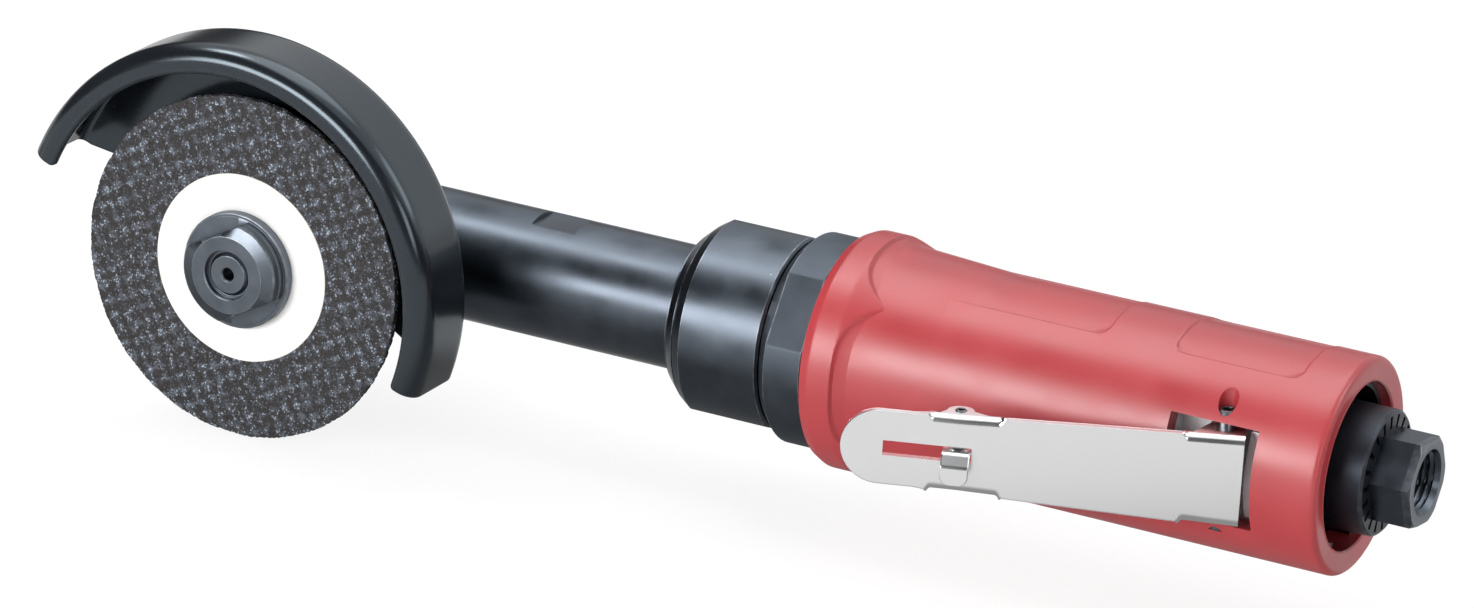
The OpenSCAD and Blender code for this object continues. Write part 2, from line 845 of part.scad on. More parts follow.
module wheel_label() placed() color("white") on_spindle()
ring(label_w, nut_w, label_d / 2, arbor_d / 2 + room);

module flange_nut() placed() color([0.3, 0.32, 0.34]) on_spindle()
difference() {
    boss_r = nut_boss_d / 2;
    brow = [0.7, 1.1];
    bevel = [3.4, 2.2];
    union() {
        rod(nut_w, boss_w, flange_d / 2);
        rotate([0, 0, nut_turn]) difference() {
            rotate_extrude() polygon([
                [0, nut_w],
                [boss_r, nut_w],
                [boss_r, nut_end - bevel[1]],
                [boss_r - brow[0], nut_end - brow[1]],
                [boss_r - bevel[0], nut_end],
                [0, nut_end]
            ]);
            flats(boss_w, nut_end + 1, nut_af, nut_boss_d);
        }
    }
    rod(nut_w - 1, nut_end, arbor_d / 2);
    rod(nut_end - recess_depth, nut_end + 1, arbor_d / 2 + 0.55);
}

// Drive line and motor

module bevel_pinion() placed() color("slategray") on_motor()
difference() {
    union() {
        bevel_blank(pinion_cone, pinion_r - pinion_hub_step, pinion_back, shaft_bearing[0] / 2);
        for (i = [0:pinion_teeth - 1])
            facing(i * 360 / pinion_teeth) bevel_tooth(pinion_cone);
    }
    rod(0, pinion_back + 1, shaft_bearing[0] / 2);
}

module drive_shaft() placed() color("silver") on_motor() {
    rod(pinion_back - 5, shaft_end_x, shaft_bearing[0] / 2 - fit);
    hex_rod(shaft_end_x - 0.5, coupling_mid_x - 0.5, coupling_af);
}

module drive_coupling() placed() color("gray") on_motor()
difference() {
    rod(coupling_x, coupling_end_x, coupling_d / 2);
    hex_rod(coupling_x - 1, coupling_mid_x, coupling_af + 2 * fit);
    hex_rod(coupling_mid_x + 0.5, coupling_end_x + 1, coupling_af + 2 * fit);
}

module rotor_slots(half, foot) {
    for (i = [0:vane_count - 1])
        facing(i * 360 / vane_count)
            translate([foot, -half, cylinder_x - 1])
                cube([rotor_d, 2 * half, cylinder_len + 2]);
}

module rotor() placed() color("silver") on_motor() {
    difference() {
        rod(cylinder_x + 1.5 * face_gap, rear_plate_x - 1.5 * face_gap, rotor_d / 2);
        rotor_slots(vane_t / 2 + run, vane_foot_r - run);
    }
    rod(front_plate_x, cylinder_x + 1, front_bearing[0] / 2 - fit);
    rod(coupling_end_x + face_gap, front_plate_x + 1, front_bearing[0] / 2 - 0.5);
    hex_rod(coupling_mid_x + 1, coupling_end_x + 1, coupling_af);
    rod(rear_plate_x - 1, valve_body_x, shaft_bearing[0] / 2 - fit);
}

module rotor_vanes() placed() color("saddlebrown") on_motor()
intersection() {
    rotor_slots(vane_t / 2, vane_foot_r);
    rod(cylinder_x + 2 * face_gap, rear_plate_x - 2 * face_gap, rotor_d / 2);
}

// Two dowels that line up the end plates with the cylinder
module dowels(from, to, r) {
    for (side = [-20, 20])
        facing(270 + side) translate([dowel_ring_r, 0, 0]) rod(from, to, r);
}

module cylinder_dowels() placed() color("silver") on_motor()
dowels(cylinder_x - dowel_depth + face_gap, rear_plate_x + dowel_depth - face_gap, dowel_r);

module motor_cylinder() placed() color("darkgray") on_motor()
difference() {
    rod(cylinder_x, rear_plate_x, motor_r - face_gap);
    facing(90) translate([bore_offset, 0, 0]) rod(cylinder_x - 1, rear_plate_x + 1, cylinder_bore_d / 2);
    dowels(cylinder_x - 1, rear_plate_x + 1, dowel_r + fit);
    for (station = [0.3, 0.5, 0.7])
        facing(180) translate([0, 0, cylinder_x + station * cylinder_len])
            rotate([0, 90, 0]) cylinder(h = grip_d, r = 2);
}

module front_end_plate() placed() color("gray") on_motor()
difference() {
    rod(front_plate_x, cylinder_x, motor_r);
    bearing_seat(front_bearing, front_plate_x);
    rod(front_plate_x - 1, cylinder_x + 1, front_bearing[0] / 2 + 0.6);
    dowels(cylinder_x - dowel_depth, cylinder_x + 1, dowel_r + fit);
}

module rear_end_plate() placed() color("gray") on_motor()
difference() {
    rod(rear_plate_x, valve_body_x, motor_r);
    bearing_seat(shaft_bearing, valve_body_x - shaft_bearing[2]);
    rod(rear_plate_x - 1, valve_body_x + 1, shaft_bearing[0] / 2 + 0.6);
    dowels(rear_plate_x - 1, rear_plate_x + dowel_depth, dowel_r + fit);
    feed_port();
}

// Air way from the valve to the cylinder, through the valve body and the rear plate
module feed_port() {
    facing(90) translate([motor_r - port_inset, 0, 0])
        rod(rear_plate_x - 1, valve_body_x + port_depth, port_r);
}

// Bearings

module pinion_bearing_outer() placed() color("lightsteelblue") on_motor()
translate([0, 0, pinion_bearing_x]) outer_race(shaft_bearing);

module pinion_bearing_inner() placed() color("lightsteelblue") on_motor()
translate([0, 0, pinion_bearing_x]) inner_race(shaft_bearing);

module extension_bearing_outer() placed() color("lightsteelblue") on_motor()
translate([0, 0, tail_bearing_x]) outer_race(shaft_bearing);

module extension_bearing_inner() placed() color("lightsteelblue") on_motor()
translate([0, 0, tail_bearing_x]) inner_race(shaft_bearing);

module rotor_front_bearing_outer() placed() color("lightsteelblue") on_motor()
translate([0, 0, front_plate_x]) outer_race(front_bearing);

module rotor_front_bearing_inner() placed() color("lightsteelblue") on_motor()
translate([0, 0, front_plate_x]) inner_race(front_bearing);

module rotor_rear_bearing_outer() placed() color("lightsteelblue") on_motor()
translate([0, 0, valve_body_x - shaft_bearing[2]]) outer_race(shaft_bearing);

module rotor_rear_bearing_inner() placed() color("lightsteelblue") on_motor()
translate([0, 0, valve_body_x - shaft_bearing[2]]) inner_race(shaft_bearing);

module spindle_main_bearing_outer() placed() color("lightsteelblue") on_spindle()
translate([0, 0, main_bearing_w]) outer_race(main_bearing);

module spindle_main_bearing_inner() placed() color("lightsteelblue") on_spindle()
translate([0, 0, main_bearing_w]) inner_race(main_bearing);

module spindle_cap_bearing_outer() placed() color("lightsteelblue") on_spindle()
translate([0, 0, -cap_bearing_b - cap_bearing[2]]) outer_race(cap_bearing);

module spindle_cap_bearing_inner() placed() color("lightsteelblue") on_spindle()
translate([0, 0, -cap_bearing_b - cap_bearing[2]]) inner_race(cap_bearing);

module motor_bearing_balls() placed() color("white") on_motor() {
    for (station = [pinion_bearing_x, tail_bearing_x, valve_body_x - shaft_bearing[2]])
        translate([0, 0, station]) race_balls(shaft_bearing);
    translate([0, 0, front_plate_x]) race_balls(front_bearing);
}

module spindle_bearing_balls() placed() color("white") on_spindle() {
    translate([0, 0, main_bearing_w]) race_balls(main_bearing);
    translate([0, 0, -cap_bearing_b - cap_bearing[2]]) race_balls(cap_bearing);
}

// Throttle

module lever_outline() {
    tip_r = lever_tip_w / 2;
    ear_end = lock_reach + lock_ear_front;
    taper = 4;
    polygon([
        [-lever_tail, -lever_w / 2],
        [ear_end, -lever_mid_w / 2],
        [ear_end + taper, -tip_r],
        [lever_len - tip_r, -tip_r],
        [lever_len - tip_r, tip_r],
        [ear_end + taper, tip_r],
        [ear_end, lever_mid_w / 2],
        [-lever_tail, lever_w / 2]
    ]);
    translate([lever_len - tip_r, 0]) circle(r = tip_r);
}

module lever_slot() {
    translate([slot_x + slot_w / 2, -slot_w / 2]) square([slot_len - slot_w, slot_w]);
    for (end = [slot_x + slot_w / 2, slot_x + slot_len - slot_w / 2])
        translate([end, 0]) circle(d = slot_w);
}

// Side cheek with an eye round a pin, as a wedge from the lever's face down to the eye
module cheek(eye_x, eye_y, eye_r, from, to, width) {
    for (side = [0, 1])
        mirror([0, 0, side]) translate([0, 0, width / 2 - lever_t]) linear_extrude(lever_t) {
            polygon([
                [eye_x - eye_r, eye_y],
                [eye_x + eye_r, eye_y],
                [to, lever_lift - lever_t / 2],
                [from, lever_lift - lever_t / 2]
            ]);
            translate([eye_x, eye_y]) circle(r = eye_r);
        }
}

module throttle_lever() placed() color("gainsboro") on_lever()
difference() {
    union() {
        translate([0, lever_lift, 0]) rotate([90, 0, 0]) linear_extrude(lever_t)
            difference() {
                lever_outline();
                lever_slot();
            }
        cheek(0, 0, lever_pin_d / 2 + pivot_eye, -lever_tail, pivot_ear_front, lever_w);
        cheek(lock_reach, lock_lift, lock_pin_d / 2 + lock_eye,
            lock_reach - lock_ear_rear, lock_reach + lock_ear_front, lever_mid_w);
    }
    translate([0, 0, -lever_w]) cylinder(h = 2 * lever_w, d = lever_pin_d + 2 * run);
    translate([lock_reach, lock_lift, -lever_w]) cylinder(h = 2 * lever_w, d = lock_pin_d + 2 * fit);
}

module lever_pin() placed() color("silver")
translate([pivot_x, -pivot_depth, 0])
    cylinder(h = pocket_w + 2 * pin_bite, d = lever_pin_d, center = true);

module lock_pin() placed() color("silver") on_lock()
cylinder(h = lever_mid_w + 2 * pin_head, d = lock_pin_d, center = true);

module lock_lever() placed() color("gainsboro") on_lock()
difference() {
    union() {
        translate([0, 0, -lock_half]) linear_extrude(2 * lock_half) {
            circle(r = lock_hub_r);
            translate([-dog_r, 0]) square([2 * dog_r, tab_r + tab_t / 2]);
            rotate(-dog_lean) {
                translate([-dog_r, -dog_reach]) square([2 * dog_r, dog_reach]);
                translate([0, -dog_reach]) circle(r = dog_r);
            }
        }
        translate([-tab_len / 2, tab_r, lock_half - tab_w]) cube([tab_len, tab_t, tab_w]);
    }
    translate([0, 0, -lever_w]) cylinder(h = 2 * lever_w, d = lock_pin_d + 2 * run);
}

module lock_spring() placed() color("silver") on_lock()
translate([0, 0, lock_half + 1.5 * room]) coil(lock_pin_d / 2 + lock_wire_d, lock_wire_d, lock_spring_len, 4);

module valve_plunger() placed() color("silver")
translate([plunger_x, 0, 0]) {
    translate([0, -pivot_depth - plunger_rise, 0]) sphere(r = plunger_r);
    rotate([90, 0, 0]) rod(stem_r + 3 * face_gap, pivot_depth + plunger_rise, plunger_r);
}

module valve_body() placed() color("lightgray")
difference() {
    on_motor() difference() {
        union() {
            rod(valve_body_x, stop_x, motor_r);
            rod(stop_x - 1, body_boss_x, body_boss_r);
        }
        rod(valve_body_x - 1, seat_x + 1, way_r);
        rod(seat_x, body_boss_x + 1, chamber_r);
        rod(inlet_x - face_gap, body_boss_x + 1, shank_d / 2 + fit);
        feed_port();
        facing(90) translate([0, 0, valve_body_x + port_depth]) rotate([0, 90, 0])
            cylinder(h = motor_r - port_inset, r = port_r);
        for (angle = [45:90:315])
            facing(angle) translate([motor_r - exhaust_inset, 0, 0])
                rod(valve_body_x - 1, stop_x + 1, exhaust_r);
        for (station = seal_stations())
            ring(station - seal_groove / 2, station + seal_groove / 2, motor_r + 1, motor_r - 2 * seal_r);
    }
    translate([pivot_x - pocket_front, -grip_flange_d, -grip_flange_d])
        cube([pocket_front + pocket_rear, grip_flange_d - pocket_floor, 2 * grip_flange_d]);
    translate([plunger_x, 0, 0]) rotate([90, 0, 0]) rod(0, grip_r, plunger_r + run);
}

function seal_stations() = [valve_body_x + 4 * seal_r, stop_x - seal_groove];

module valve_body_seals() placed() color([0.1, 0.1, 0.1]) on_motor()
for (station = seal_stations())
    rotate_extrude() translate([motor_r - seal_r, station]) circle(r = seal_r - 1.5 * fit);

module valve_seat() placed() color("goldenrod") on_motor()
ring(seat_x, disc_x - face_gap, chamber_r - fit, stem_r + seat_room);

module tip_valve() placed() color("goldenrod") on_motor() {
    rod(disc_x, disc_x + disc_t, disc_r);
    rod(plunger_x - stem_tip, disc_x + 1, stem_r);
}

module valve_spring() placed() color("silver") on_motor()
translate([0, 0, disc_x + disc_t + 2 * face_gap])
    coil(valve_spring_r, valve_wire_d, inlet_x - disc_x - disc_t - 4 * face_gap, 4);

// Air inlet and exhaust

module inlet_bushing() placed() color([0.14, 0.14, 0.15]) on_motor()
difference() {
    union() {
        rod(inlet_x, deflector_end_x + 1, shank_d / 2);
        intersection() {
            facing(hex_turn) hex_rod(deflector_end_x, hex_end_x, hex_af);
            hex_chamfer();
        }
    }
    rod(inlet_x - 1, thread_x + 1, feed_r);
    rod(thread_x, hex_end_x + 1, thread_d / 2);
    translate([0, 0, origin_x])
        cylinder(h = thread_chamfer, r1 = thread_d / 2, r2 = thread_d / 2 + thread_chamfer);
}

// Turned shape that takes the corners off both ends of the hexagon
module hex_chamfer() {
    corner_r = hex_af / 2 / cos(30);
    cut = 0.9;
    rotate_extrude() polygon([
        [0, deflector_end_x - 1],
        [corner_r + 1, deflector_end_x - 1],
        [corner_r + 1, hex_end_x - cut - 0.5],
        [corner_r - cut, hex_end_x],
        [0, hex_end_x]
    ]);
}

module inlet_screen() placed() color("goldenrod") on_motor()
difference() {
    setback = 3;
    screen_t = 1;
    hole_r = 0.8;
    from = thread_x - setback - screen_t;
    rod(from, from + screen_t, feed_r - fit);
    for (turn = [0:60:300])
        rotate([0, 0, turn]) translate([0.58 * feed_r, 0, 0]) rod(from - 1, thread_x, hole_r);
    rod(from - 1, thread_x, hole_r);
}

module exhaust_deflector() placed() color([0.1, 0.1, 0.1]) on_motor()
difference() {
    rim_r = rear_bore_d / 2 - face_gap;
    end_r = deflector_d / 2;
    wall = deflector_wall;
    cone_len = 4.3;
    cone_x = snap_x + cone_len;
    rim_step = 2.2;
    edge = 0.6;
    slot = [end_r - shank_d / 2 - 2, 1, 4];
    rotate_extrude() polygon([
        [rim_r - wall, stop_x + face_gap],
        [rim_r, stop_x + face_gap],
        [rim_r, snap_x - face_gap],
        [rim_r - rim_step, snap_x - face_gap],
        [end_r, cone_x],
        [end_r, deflector_end_x - edge],
        [end_r - edge, deflector_end_x],
        [shank_d / 2 + face_gap, deflector_end_x],
        [shank_d / 2 + face_gap, deflector_end_x - deflector_web],
        [end_r - wall, deflector_end_x - deflector_web],
        [end_r - wall, cone_x],
        [rim_r - rim_step - wall, snap_x - face_gap],
        [rim_r - wall, stop_x + wall / 2 + face_gap]
    ]);
    for (i = [0:deflector_slots - 1])
        rotate([0, 0, i * 360 / deflector_slots])
            translate([shank_d / 2 + 1, -slot[1] / 2, deflector_end_x - slot[2]])
                cube(slot + [0, 0, 1]);
}

module muffler_ring() placed() color("tan") on_motor()
ring(body_boss_x + face_gap, deflector_end_x - deflector_web - face_gap,
    deflector_d / 2 - deflector_wall - face_gap, shank_d / 2 + face_gap);

// Split sleeve that lines the rear bore, with a bead that snaps into the groove
module retaining_ring() placed() color([0.2, 0.2, 0.2]) on_motor()
rotate([0, 0, snap_gap / 2]) rotate_extrude(angle = 360 - snap_gap) {
    bore_r = rear_bore_d / 2;
    translate([bore_r - sleeve_t, snap_x]) square([sleeve_t + snap_bite, snap_t]);
    translate([bore_r - sleeve_t, snap_x]) square([sleeve_t - run, grip_end_x - sleeve_back - snap_x]);
}

grip_housing();
front_adapter();
lock_ring();
collar_nut();
extension_housing();
angle_head();
head_cap();
bearing_retainer();
guard();
guard_clamp_ring();
spindle();
bevel_gear();
gear_key();
inner_flange();
cutoff_wheel();
wheel_label();
flange_nut();
bevel_pinion();
drive_shaft();
drive_coupling();
rotor();
rotor_vanes();
motor_cylinder();
front_end_plate();
rear_end_plate();
cylinder_dowels();
pinion_bearing_outer();
pinion_bearing_inner();
extension_bearing_outer();
extension_bearing_inner();
rotor_front_bearing_outer();
rotor_front_bearing_inner();
rotor_rear_bearing_outer();
rotor_rear_bearing_inner();
spindle_main_bearing_outer();
spindle_main_bearing_inner();
spindle_cap_bearing_outer();
spindle_cap_bearing_inner();
motor_bearing_balls();
spindle_bearing_balls();
throttle_lever();
lever_pin();
lock_lever();
lock_pin();
lock_spring();
valve_plunger();
valve_body();
valve_body_seals();
valve_seat();
tip_valve();
valve_spring();
inlet_bushing();
inlet_screen();
exhaust_deflector();
muffler_ring();
retaining_ring();
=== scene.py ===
"""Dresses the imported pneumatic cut-off tool for its studio picture.

Sizes are in millimetres on two crossing axes. Stations on the motor axis run from the
crossing towards the air inlet (+X), and stations on the spindle axis run from the
crossing towards the wheel (-Y). Frames turn both into the row frame, in metres.
"""

from __future__ import annotations

import json
import logging
import math
from collections.abc import Callable, Sequence
from dataclasses import dataclass, field, replace
from enum import Enum

import bmesh
import bpy
import numpy as np
from mathutils import Matrix, Vector

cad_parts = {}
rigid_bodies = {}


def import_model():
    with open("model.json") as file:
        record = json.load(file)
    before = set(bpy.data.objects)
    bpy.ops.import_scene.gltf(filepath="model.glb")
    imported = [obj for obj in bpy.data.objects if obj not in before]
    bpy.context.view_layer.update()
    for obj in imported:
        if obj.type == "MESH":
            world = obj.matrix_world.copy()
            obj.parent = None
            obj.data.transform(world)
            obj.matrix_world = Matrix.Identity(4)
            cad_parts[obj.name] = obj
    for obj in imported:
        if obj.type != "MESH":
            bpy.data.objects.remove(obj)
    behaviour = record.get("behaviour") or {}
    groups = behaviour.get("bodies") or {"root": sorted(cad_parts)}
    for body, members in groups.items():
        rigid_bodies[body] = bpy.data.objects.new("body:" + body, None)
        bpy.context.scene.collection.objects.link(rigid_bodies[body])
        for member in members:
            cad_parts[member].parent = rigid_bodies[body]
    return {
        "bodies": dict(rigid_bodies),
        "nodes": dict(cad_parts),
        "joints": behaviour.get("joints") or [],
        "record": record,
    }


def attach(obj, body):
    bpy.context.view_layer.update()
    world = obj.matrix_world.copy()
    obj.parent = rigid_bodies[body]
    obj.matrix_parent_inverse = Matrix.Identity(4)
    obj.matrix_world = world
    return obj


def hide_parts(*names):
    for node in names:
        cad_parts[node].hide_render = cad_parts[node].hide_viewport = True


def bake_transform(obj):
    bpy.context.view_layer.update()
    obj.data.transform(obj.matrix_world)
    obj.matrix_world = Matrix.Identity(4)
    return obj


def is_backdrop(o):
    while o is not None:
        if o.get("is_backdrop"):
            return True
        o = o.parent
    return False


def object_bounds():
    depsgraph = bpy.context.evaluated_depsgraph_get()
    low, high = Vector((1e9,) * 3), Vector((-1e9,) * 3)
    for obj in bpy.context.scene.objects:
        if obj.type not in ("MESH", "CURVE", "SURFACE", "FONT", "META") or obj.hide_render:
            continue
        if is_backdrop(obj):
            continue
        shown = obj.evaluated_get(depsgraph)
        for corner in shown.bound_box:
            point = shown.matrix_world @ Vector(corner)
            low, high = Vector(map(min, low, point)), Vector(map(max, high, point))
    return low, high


LOG = logging.getLogger("cutoff_tool")
Array = np.ndarray
Point = tuple[float, float, float]
Color = tuple[float, float, float]
Corner = tuple[float, float, float]
Shape = Callable[[Array, Array, Array], tuple[Array, Array]]

# Metres in a millimetre, and the row frame's origin on the motor axis
MM = 0.001
INLET_X = 256.9

# Most of a side that one corner's arc may take, and the half angle of a nearly straight corner
ARC_SHARE = 0.45
STRAIGHT_HALF = 1.55

# Chamfer of a box that only cuts, and how far a cut runs past the face that it opens
CUT_EDGE = 1e-4
CUT_OVER = 1.0

# Metres within which two points are one, and under which an edge has no length
WELD = 2e-6
SLIVER = 1e-7

# Faces that meet at more than this angle are shaded with an edge between them
SHARP_ANGLE = math.radians(32)

# Noise of the worn edges and cells of the dust, per metre, and the size and rank of cells that show
WEAR_SCALE = 420.0
SPECK_SCALE = 330.0
SPECK_SIZE = 0.055
SPECK_FROM = 0.9


# Frames and skins


@dataclass(frozen=True)
class Frame:
    """A place and three directions in which a piece's numbers are given.

    Angles run from the first direction towards the second, and stations along the third.
    """

    origin: Point
    first: Point
    second: Point
    third: Point

    def lay(self, x: Array | float, y: Array | float, z: Array | float) -> Array:
        """Row-frame points in metres: origin + x first + y second + z third.

        Args:
            x: Millimetres along the first direction.
            y: Millimetres along the second direction.
            z: Millimetres along the third direction.

        Returns:
            Array of points with the coordinates on its last axis.
        """
        x, y, z = np.broadcast_arrays(x, y, z)
        parts = np.stack([x, y, z], -1) @ np.array([self.first, self.second, self.third])
        return (parts + self.origin - np.array([INLET_X, 0, 0])) * MM

    def turn(self, radius: Array, station: Array, angle: Array) -> Array:
        """Row-frame points of polar numbers: radius times (cos, sin) of the angle, and station."""
        return self.lay(radius * np.cos(angle), radius * np.sin(angle), station)


# The lever's slope and pivot, and how far along it and off it the lock's pin lies
LEVER_ANGLE = math.radians(20)
PIVOT = (220.7, -17.5, 0.0)
ALONG_LEVER = (-math.cos(LEVER_ANGLE), -math.sin(LEVER_ANGLE), 0.0)
OFF_LEVER = (math.sin(LEVER_ANGLE), -math.cos(LEVER_ANGLE), 0.0)
LOCK_REACH, LOCK_LIFT = 53.3, 3.6
LOCK_POINT = tuple(np.array(PIVOT) + LOCK_REACH * np.array(ALONG_LEVER) + LOCK_LIFT * np.array(OFF_LEVER))

TOOL = Frame((0, 0, 0), (1, 0, 0), (0, 1, 0), (0, 0, 1))
MOTOR = Frame((0, 0, 0), (0, -1, 0), (0, 0, 1), (1, 0, 0))
SPINDLE = Frame((0, 0, 0), (1, 0, 0), (0, 0, 1), (0, -1, 0))
LEVER = Frame(PIVOT, ALONG_LEVER, OFF_LEVER, (0, 0, 1))
LOCK = Frame(LOCK_POINT, ALONG_LEVER, OFF_LEVER, (0, 0, 1))


@dataclass
class Skin:
    """Points in metres, faces as index lists, and a wear mask that is 1 on outer edges."""

    points: Array
    faces: list[list[int]]
    wear: Array

    def outward(self) -> Skin:
        """Turns the faces round where the sum of their cone volumes is negative.

        Returns:
            The skin itself, with its faces pointing outwards.
        """
        fans = [[f[0], f[k], f[k + 1]] for f in self.faces for k in range(1, len(f) - 1)]
        a, b, c = (self.points[np.array(fans)[:, k]] for k in range(3))
        if np.einsum("ij,ij->i", a, np.cross(b, c)).sum() < 0:
            self.faces = [f[::-1] for f in self.faces]
        return self

    def plus(self, *others: Skin) -> Skin:
        """One skin that holds this one and the others as separate shells.

        Args:
            others: Skins to add.

        Returns:
            The joined skin.
        """
        joined = self
        for other in others:
            shift = len(joined.points)
            joined = Skin(
                np.concatenate([joined.points, other.points]),
                joined.faces + [[k + shift for k in f] for f in other.faces],
                np.concatenate([joined.wear, other.wear]),
            )
        return joined


def grid_skin(
    points: Array, wear: Array, ring_rows: bool, ring_cols: bool, mirror_caps: bool = False
) -> Skin:
    """Joins a grid of points with quads.

    Args:
        points: Rows by columns by 3, in metres.
        wear: Wear mask, rows by columns.
        ring_rows: The last row joins the first one.
        ring_cols: The last column joins the first one.
        mirror_caps: Closes the first and last column of a section whose rows run out along one
            face of a sheet and back along the other, by joining row k to the kth row from the end.

    Returns:
        The skin, with its faces outwards.
    """
    rows, cols = points.shape[:2]
    index = np.arange(rows * cols).reshape(rows, cols)
    a = index[: rows if ring_rows else rows - 1, : cols if ring_cols else cols - 1]
    down, right = np.roll(index, -1, 0), np.roll(index, -1, 1)
    both = np.roll(down, -1, 1)
    cut = (slice(a.shape[0]), slice(a.shape[1]))
    faces = np.stack([a, right[cut], both[cut], down[cut]], -1).reshape(-1, 4).tolist()
    if mirror_caps:
        k = np.arange(rows // 2 - 1)
        for col, flip in ((0, 1), (cols - 1, -1)):
            out, back = index[:, col], index[::-1, col]
            strip = np.stack([out[k], out[k + 1], back[k + 1], back[k]], -1)
            faces += strip[:, ::flip].tolist()
    return Skin(points.reshape(-1, 3), faces, wear.reshape(-1)).outward()


def soft_min(a: Array, b: Array, soft: float) -> Array:
    """The smaller of two numbers, with the crossing rounded over a width of soft."""
    blend = np.clip(0.5 + 0.5 * (b - a) / soft, 0, 1)
    return b + (a - b) * blend - soft * blend * (1 - blend)


def smooth_step(x: Array) -> Array:
    """Rises from 0 to 1 as x goes from 0 to 1, with flat ends."""
    x = np.clip(x, 0, 1)
    return x * x * (3 - 2 * x)


def rounded(corners: Sequence[Corner], steps: int = 5, support: float = 0.06) -> tuple[Array, Array]:
    """A closed outline whose corners are replaced by arcs.

    Each corner's arc is the spherical blend of the two radii that touch its sides. A point
    close to each end of a straight side keeps the side's shading flat.

    Args:
        corners: Radius or x, station or y, and fillet of each corner, in order.
        steps: Steps on an arc.
        support: Distance of the extra points from the ends of the sides.

    Returns:
        The points, n by 2, and the wear mask, 1 on convex arcs.
    """
    spots = np.array([c[:2] for c in corners], float)
    area = np.sum(spots[:, 0] * np.roll(spots[:, 1], -1) - np.roll(spots[:, 0], -1) * spots[:, 1])
    arcs, wears = [], []
    for k, (x, y, fillet) in enumerate(corners):
        spot = np.array([x, y], float)
        before, after = spots[k - 1] - spot, spots[(k + 1) % len(spots)] - spot
        reach = ARC_SHARE * min(np.linalg.norm(before), np.linalg.norm(after))
        before, after = before / np.linalg.norm(before), after / np.linalg.norm(after)
        half = 0.5 * math.acos(np.clip(before @ after, -1, 1))
        length = min(fillet / math.tan(half), reach) if fillet > 0 and half < STRAIGHT_HALF else 0.0
        if length < 1e-6:
            arcs.append(spot[None])
            wears.append(np.zeros(1))
            continue
        centre = spot + (before + after) / np.linalg.norm(before + after) * length / math.cos(half)
        start, end = spot + before * length - centre, spot + after * length - centre
        turn, t = math.pi - 2 * half, np.linspace(0, 1, steps + 1)[:, None]
        arcs.append(centre + (np.sin((1 - t) * turn) * start + np.sin(t * turn) * end) / math.sin(turn))
        convex = (after[0] * before[1] - after[1] * before[0]) * area > 0
        wears.append(np.full(steps + 1, 1.0 if convex else 0.0))
    points, wear = [], []
    for k, arc in enumerate(arcs):
        gap = arcs[(k + 1) % len(arcs)][0] - arc[-1]
        length = np.linalg.norm(gap)
        points.append(arc)
        wear.append(wears[k])
        if length > 4 * support:
            points.append(arc[-1] + gap * np.array([[support / length], [1 - support / length]]))
            wear.append(np.zeros(2))
    return np.concatenate(points), np.concatenate(wear)


def ring_angles(count: int, knots: Sequence[float] = (), spread: float = 2.0, extra: int = 13) -> Array:
    """Angles once round, in radians, with more of them near the knots.

    Args:
        count: Even steps in a turn.
        knots: Angles in degrees that get closer steps.
        spread: Degrees on each side of a knot.
        extra: Steps near a knot.

    Returns:
        Sorted angles from 0 up to a full turn.
    """
    near = np.concatenate([[0.0], *(k + np.linspace(-spread, spread, extra) for k in knots)])
    every = np.concatenate([np.linspace(0, 360, count, endpoint=False), near]) % 360
    return np.radians(np.unique(np.round(every, 4)))


def turned(frame: Frame, outline: tuple[Array, Array], angles: Array, shape: Shape | None = None) -> Skin:
    """Carries an outline of radius and station once round a frame's third direction.

    Args:
        frame: Where the axis lies.
        outline: Points and wear mask from rounded().
        angles: Angles from ring_angles().
        shape: Changes radius and station by angle, such as flats.

    Returns:
        The closed skin. An outline that starts and ends on the axis has poles there.
    """
    points, wear = outline
    radius, station, angle = np.broadcast_arrays(points[:, :1], points[:, 1:], angles[None])
    if shape is not None:
        radius, station = shape(radius, station, angle)
    solid = points[0, 0] == 0 and points[-1, 0] == 0
    mask = np.broadcast_to(wear[:, None], radius.shape)
    return grid_skin(frame.turn(radius, station, angle), mask, not solid, True)


def flats(across: float, facing: float, begin: float = -1e3, end: float = 1e3, soft: float = 0.12) -> Shape:
    """Two opposite flats: the radius is at most half the distance across over the cosine.

    Args:
        across: Distance across the flats.
        facing: Angle in degrees that one flat faces.
        begin: Station where the flats begin.
        end: Station where they end.
        soft: Rounding of the edges that they leave.

    Returns:
        The shape for turned().
    """

    def shape(radius: Array, station: Array, angle: Array) -> tuple[Array, Array]:
        """Lowers the radius to the flats.

        Args:
            radius: Radii of the grid.
            station: Stations of the grid.
            angle: Angles of the grid.

        Returns:
            The lowered radii, and the stations as they are.
        """
        cosine = np.abs(np.cos(angle - math.radians(facing)))
        limit = across / 2 / np.maximum(cosine, 0.3)
        cut = soft_min(radius, limit, soft)
        return np.where((station > begin) & (station < end), cut, radius), station

    return shape


def flat_knots(across: float, diameter: float, facing: float) -> list[float]:
    """Angles in degrees at which two flats meet a round of the given diameter."""
    half = math.degrees(math.acos(across / diameter))
    return [facing + side + turn for turn in (0, 180) for side in (-half, half)]


def pairs(x: Array | float, y: Array | float) -> Array:
    """Plane points of two rows of coordinates, n by 2."""
    return np.stack(np.broadcast_arrays(x, y), -1)


def right_of(way: Array) -> Array:
    """Unit vectors at right angles to plane vectors, on their right."""
    return pairs(way[:, 1], -way[:, 0]) / np.linalg.norm(way, axis=1)[:, None]


def turned_by(points: Array, angle: float) -> Array:
    """Plane points turned about the origin by an angle in radians."""
    c, s = math.cos(angle), math.sin(angle)
    return points @ np.array([[c, s], [-s, c]])


def rectangle(low: Sequence[float], high: Sequence[float]) -> Array:
    """Corners of a rectangle between two plane points, anticlockwise."""
    return np.array([[low[0], low[1]], [high[0], low[1]], [high[0], high[1]], [low[0], high[1]]], float)


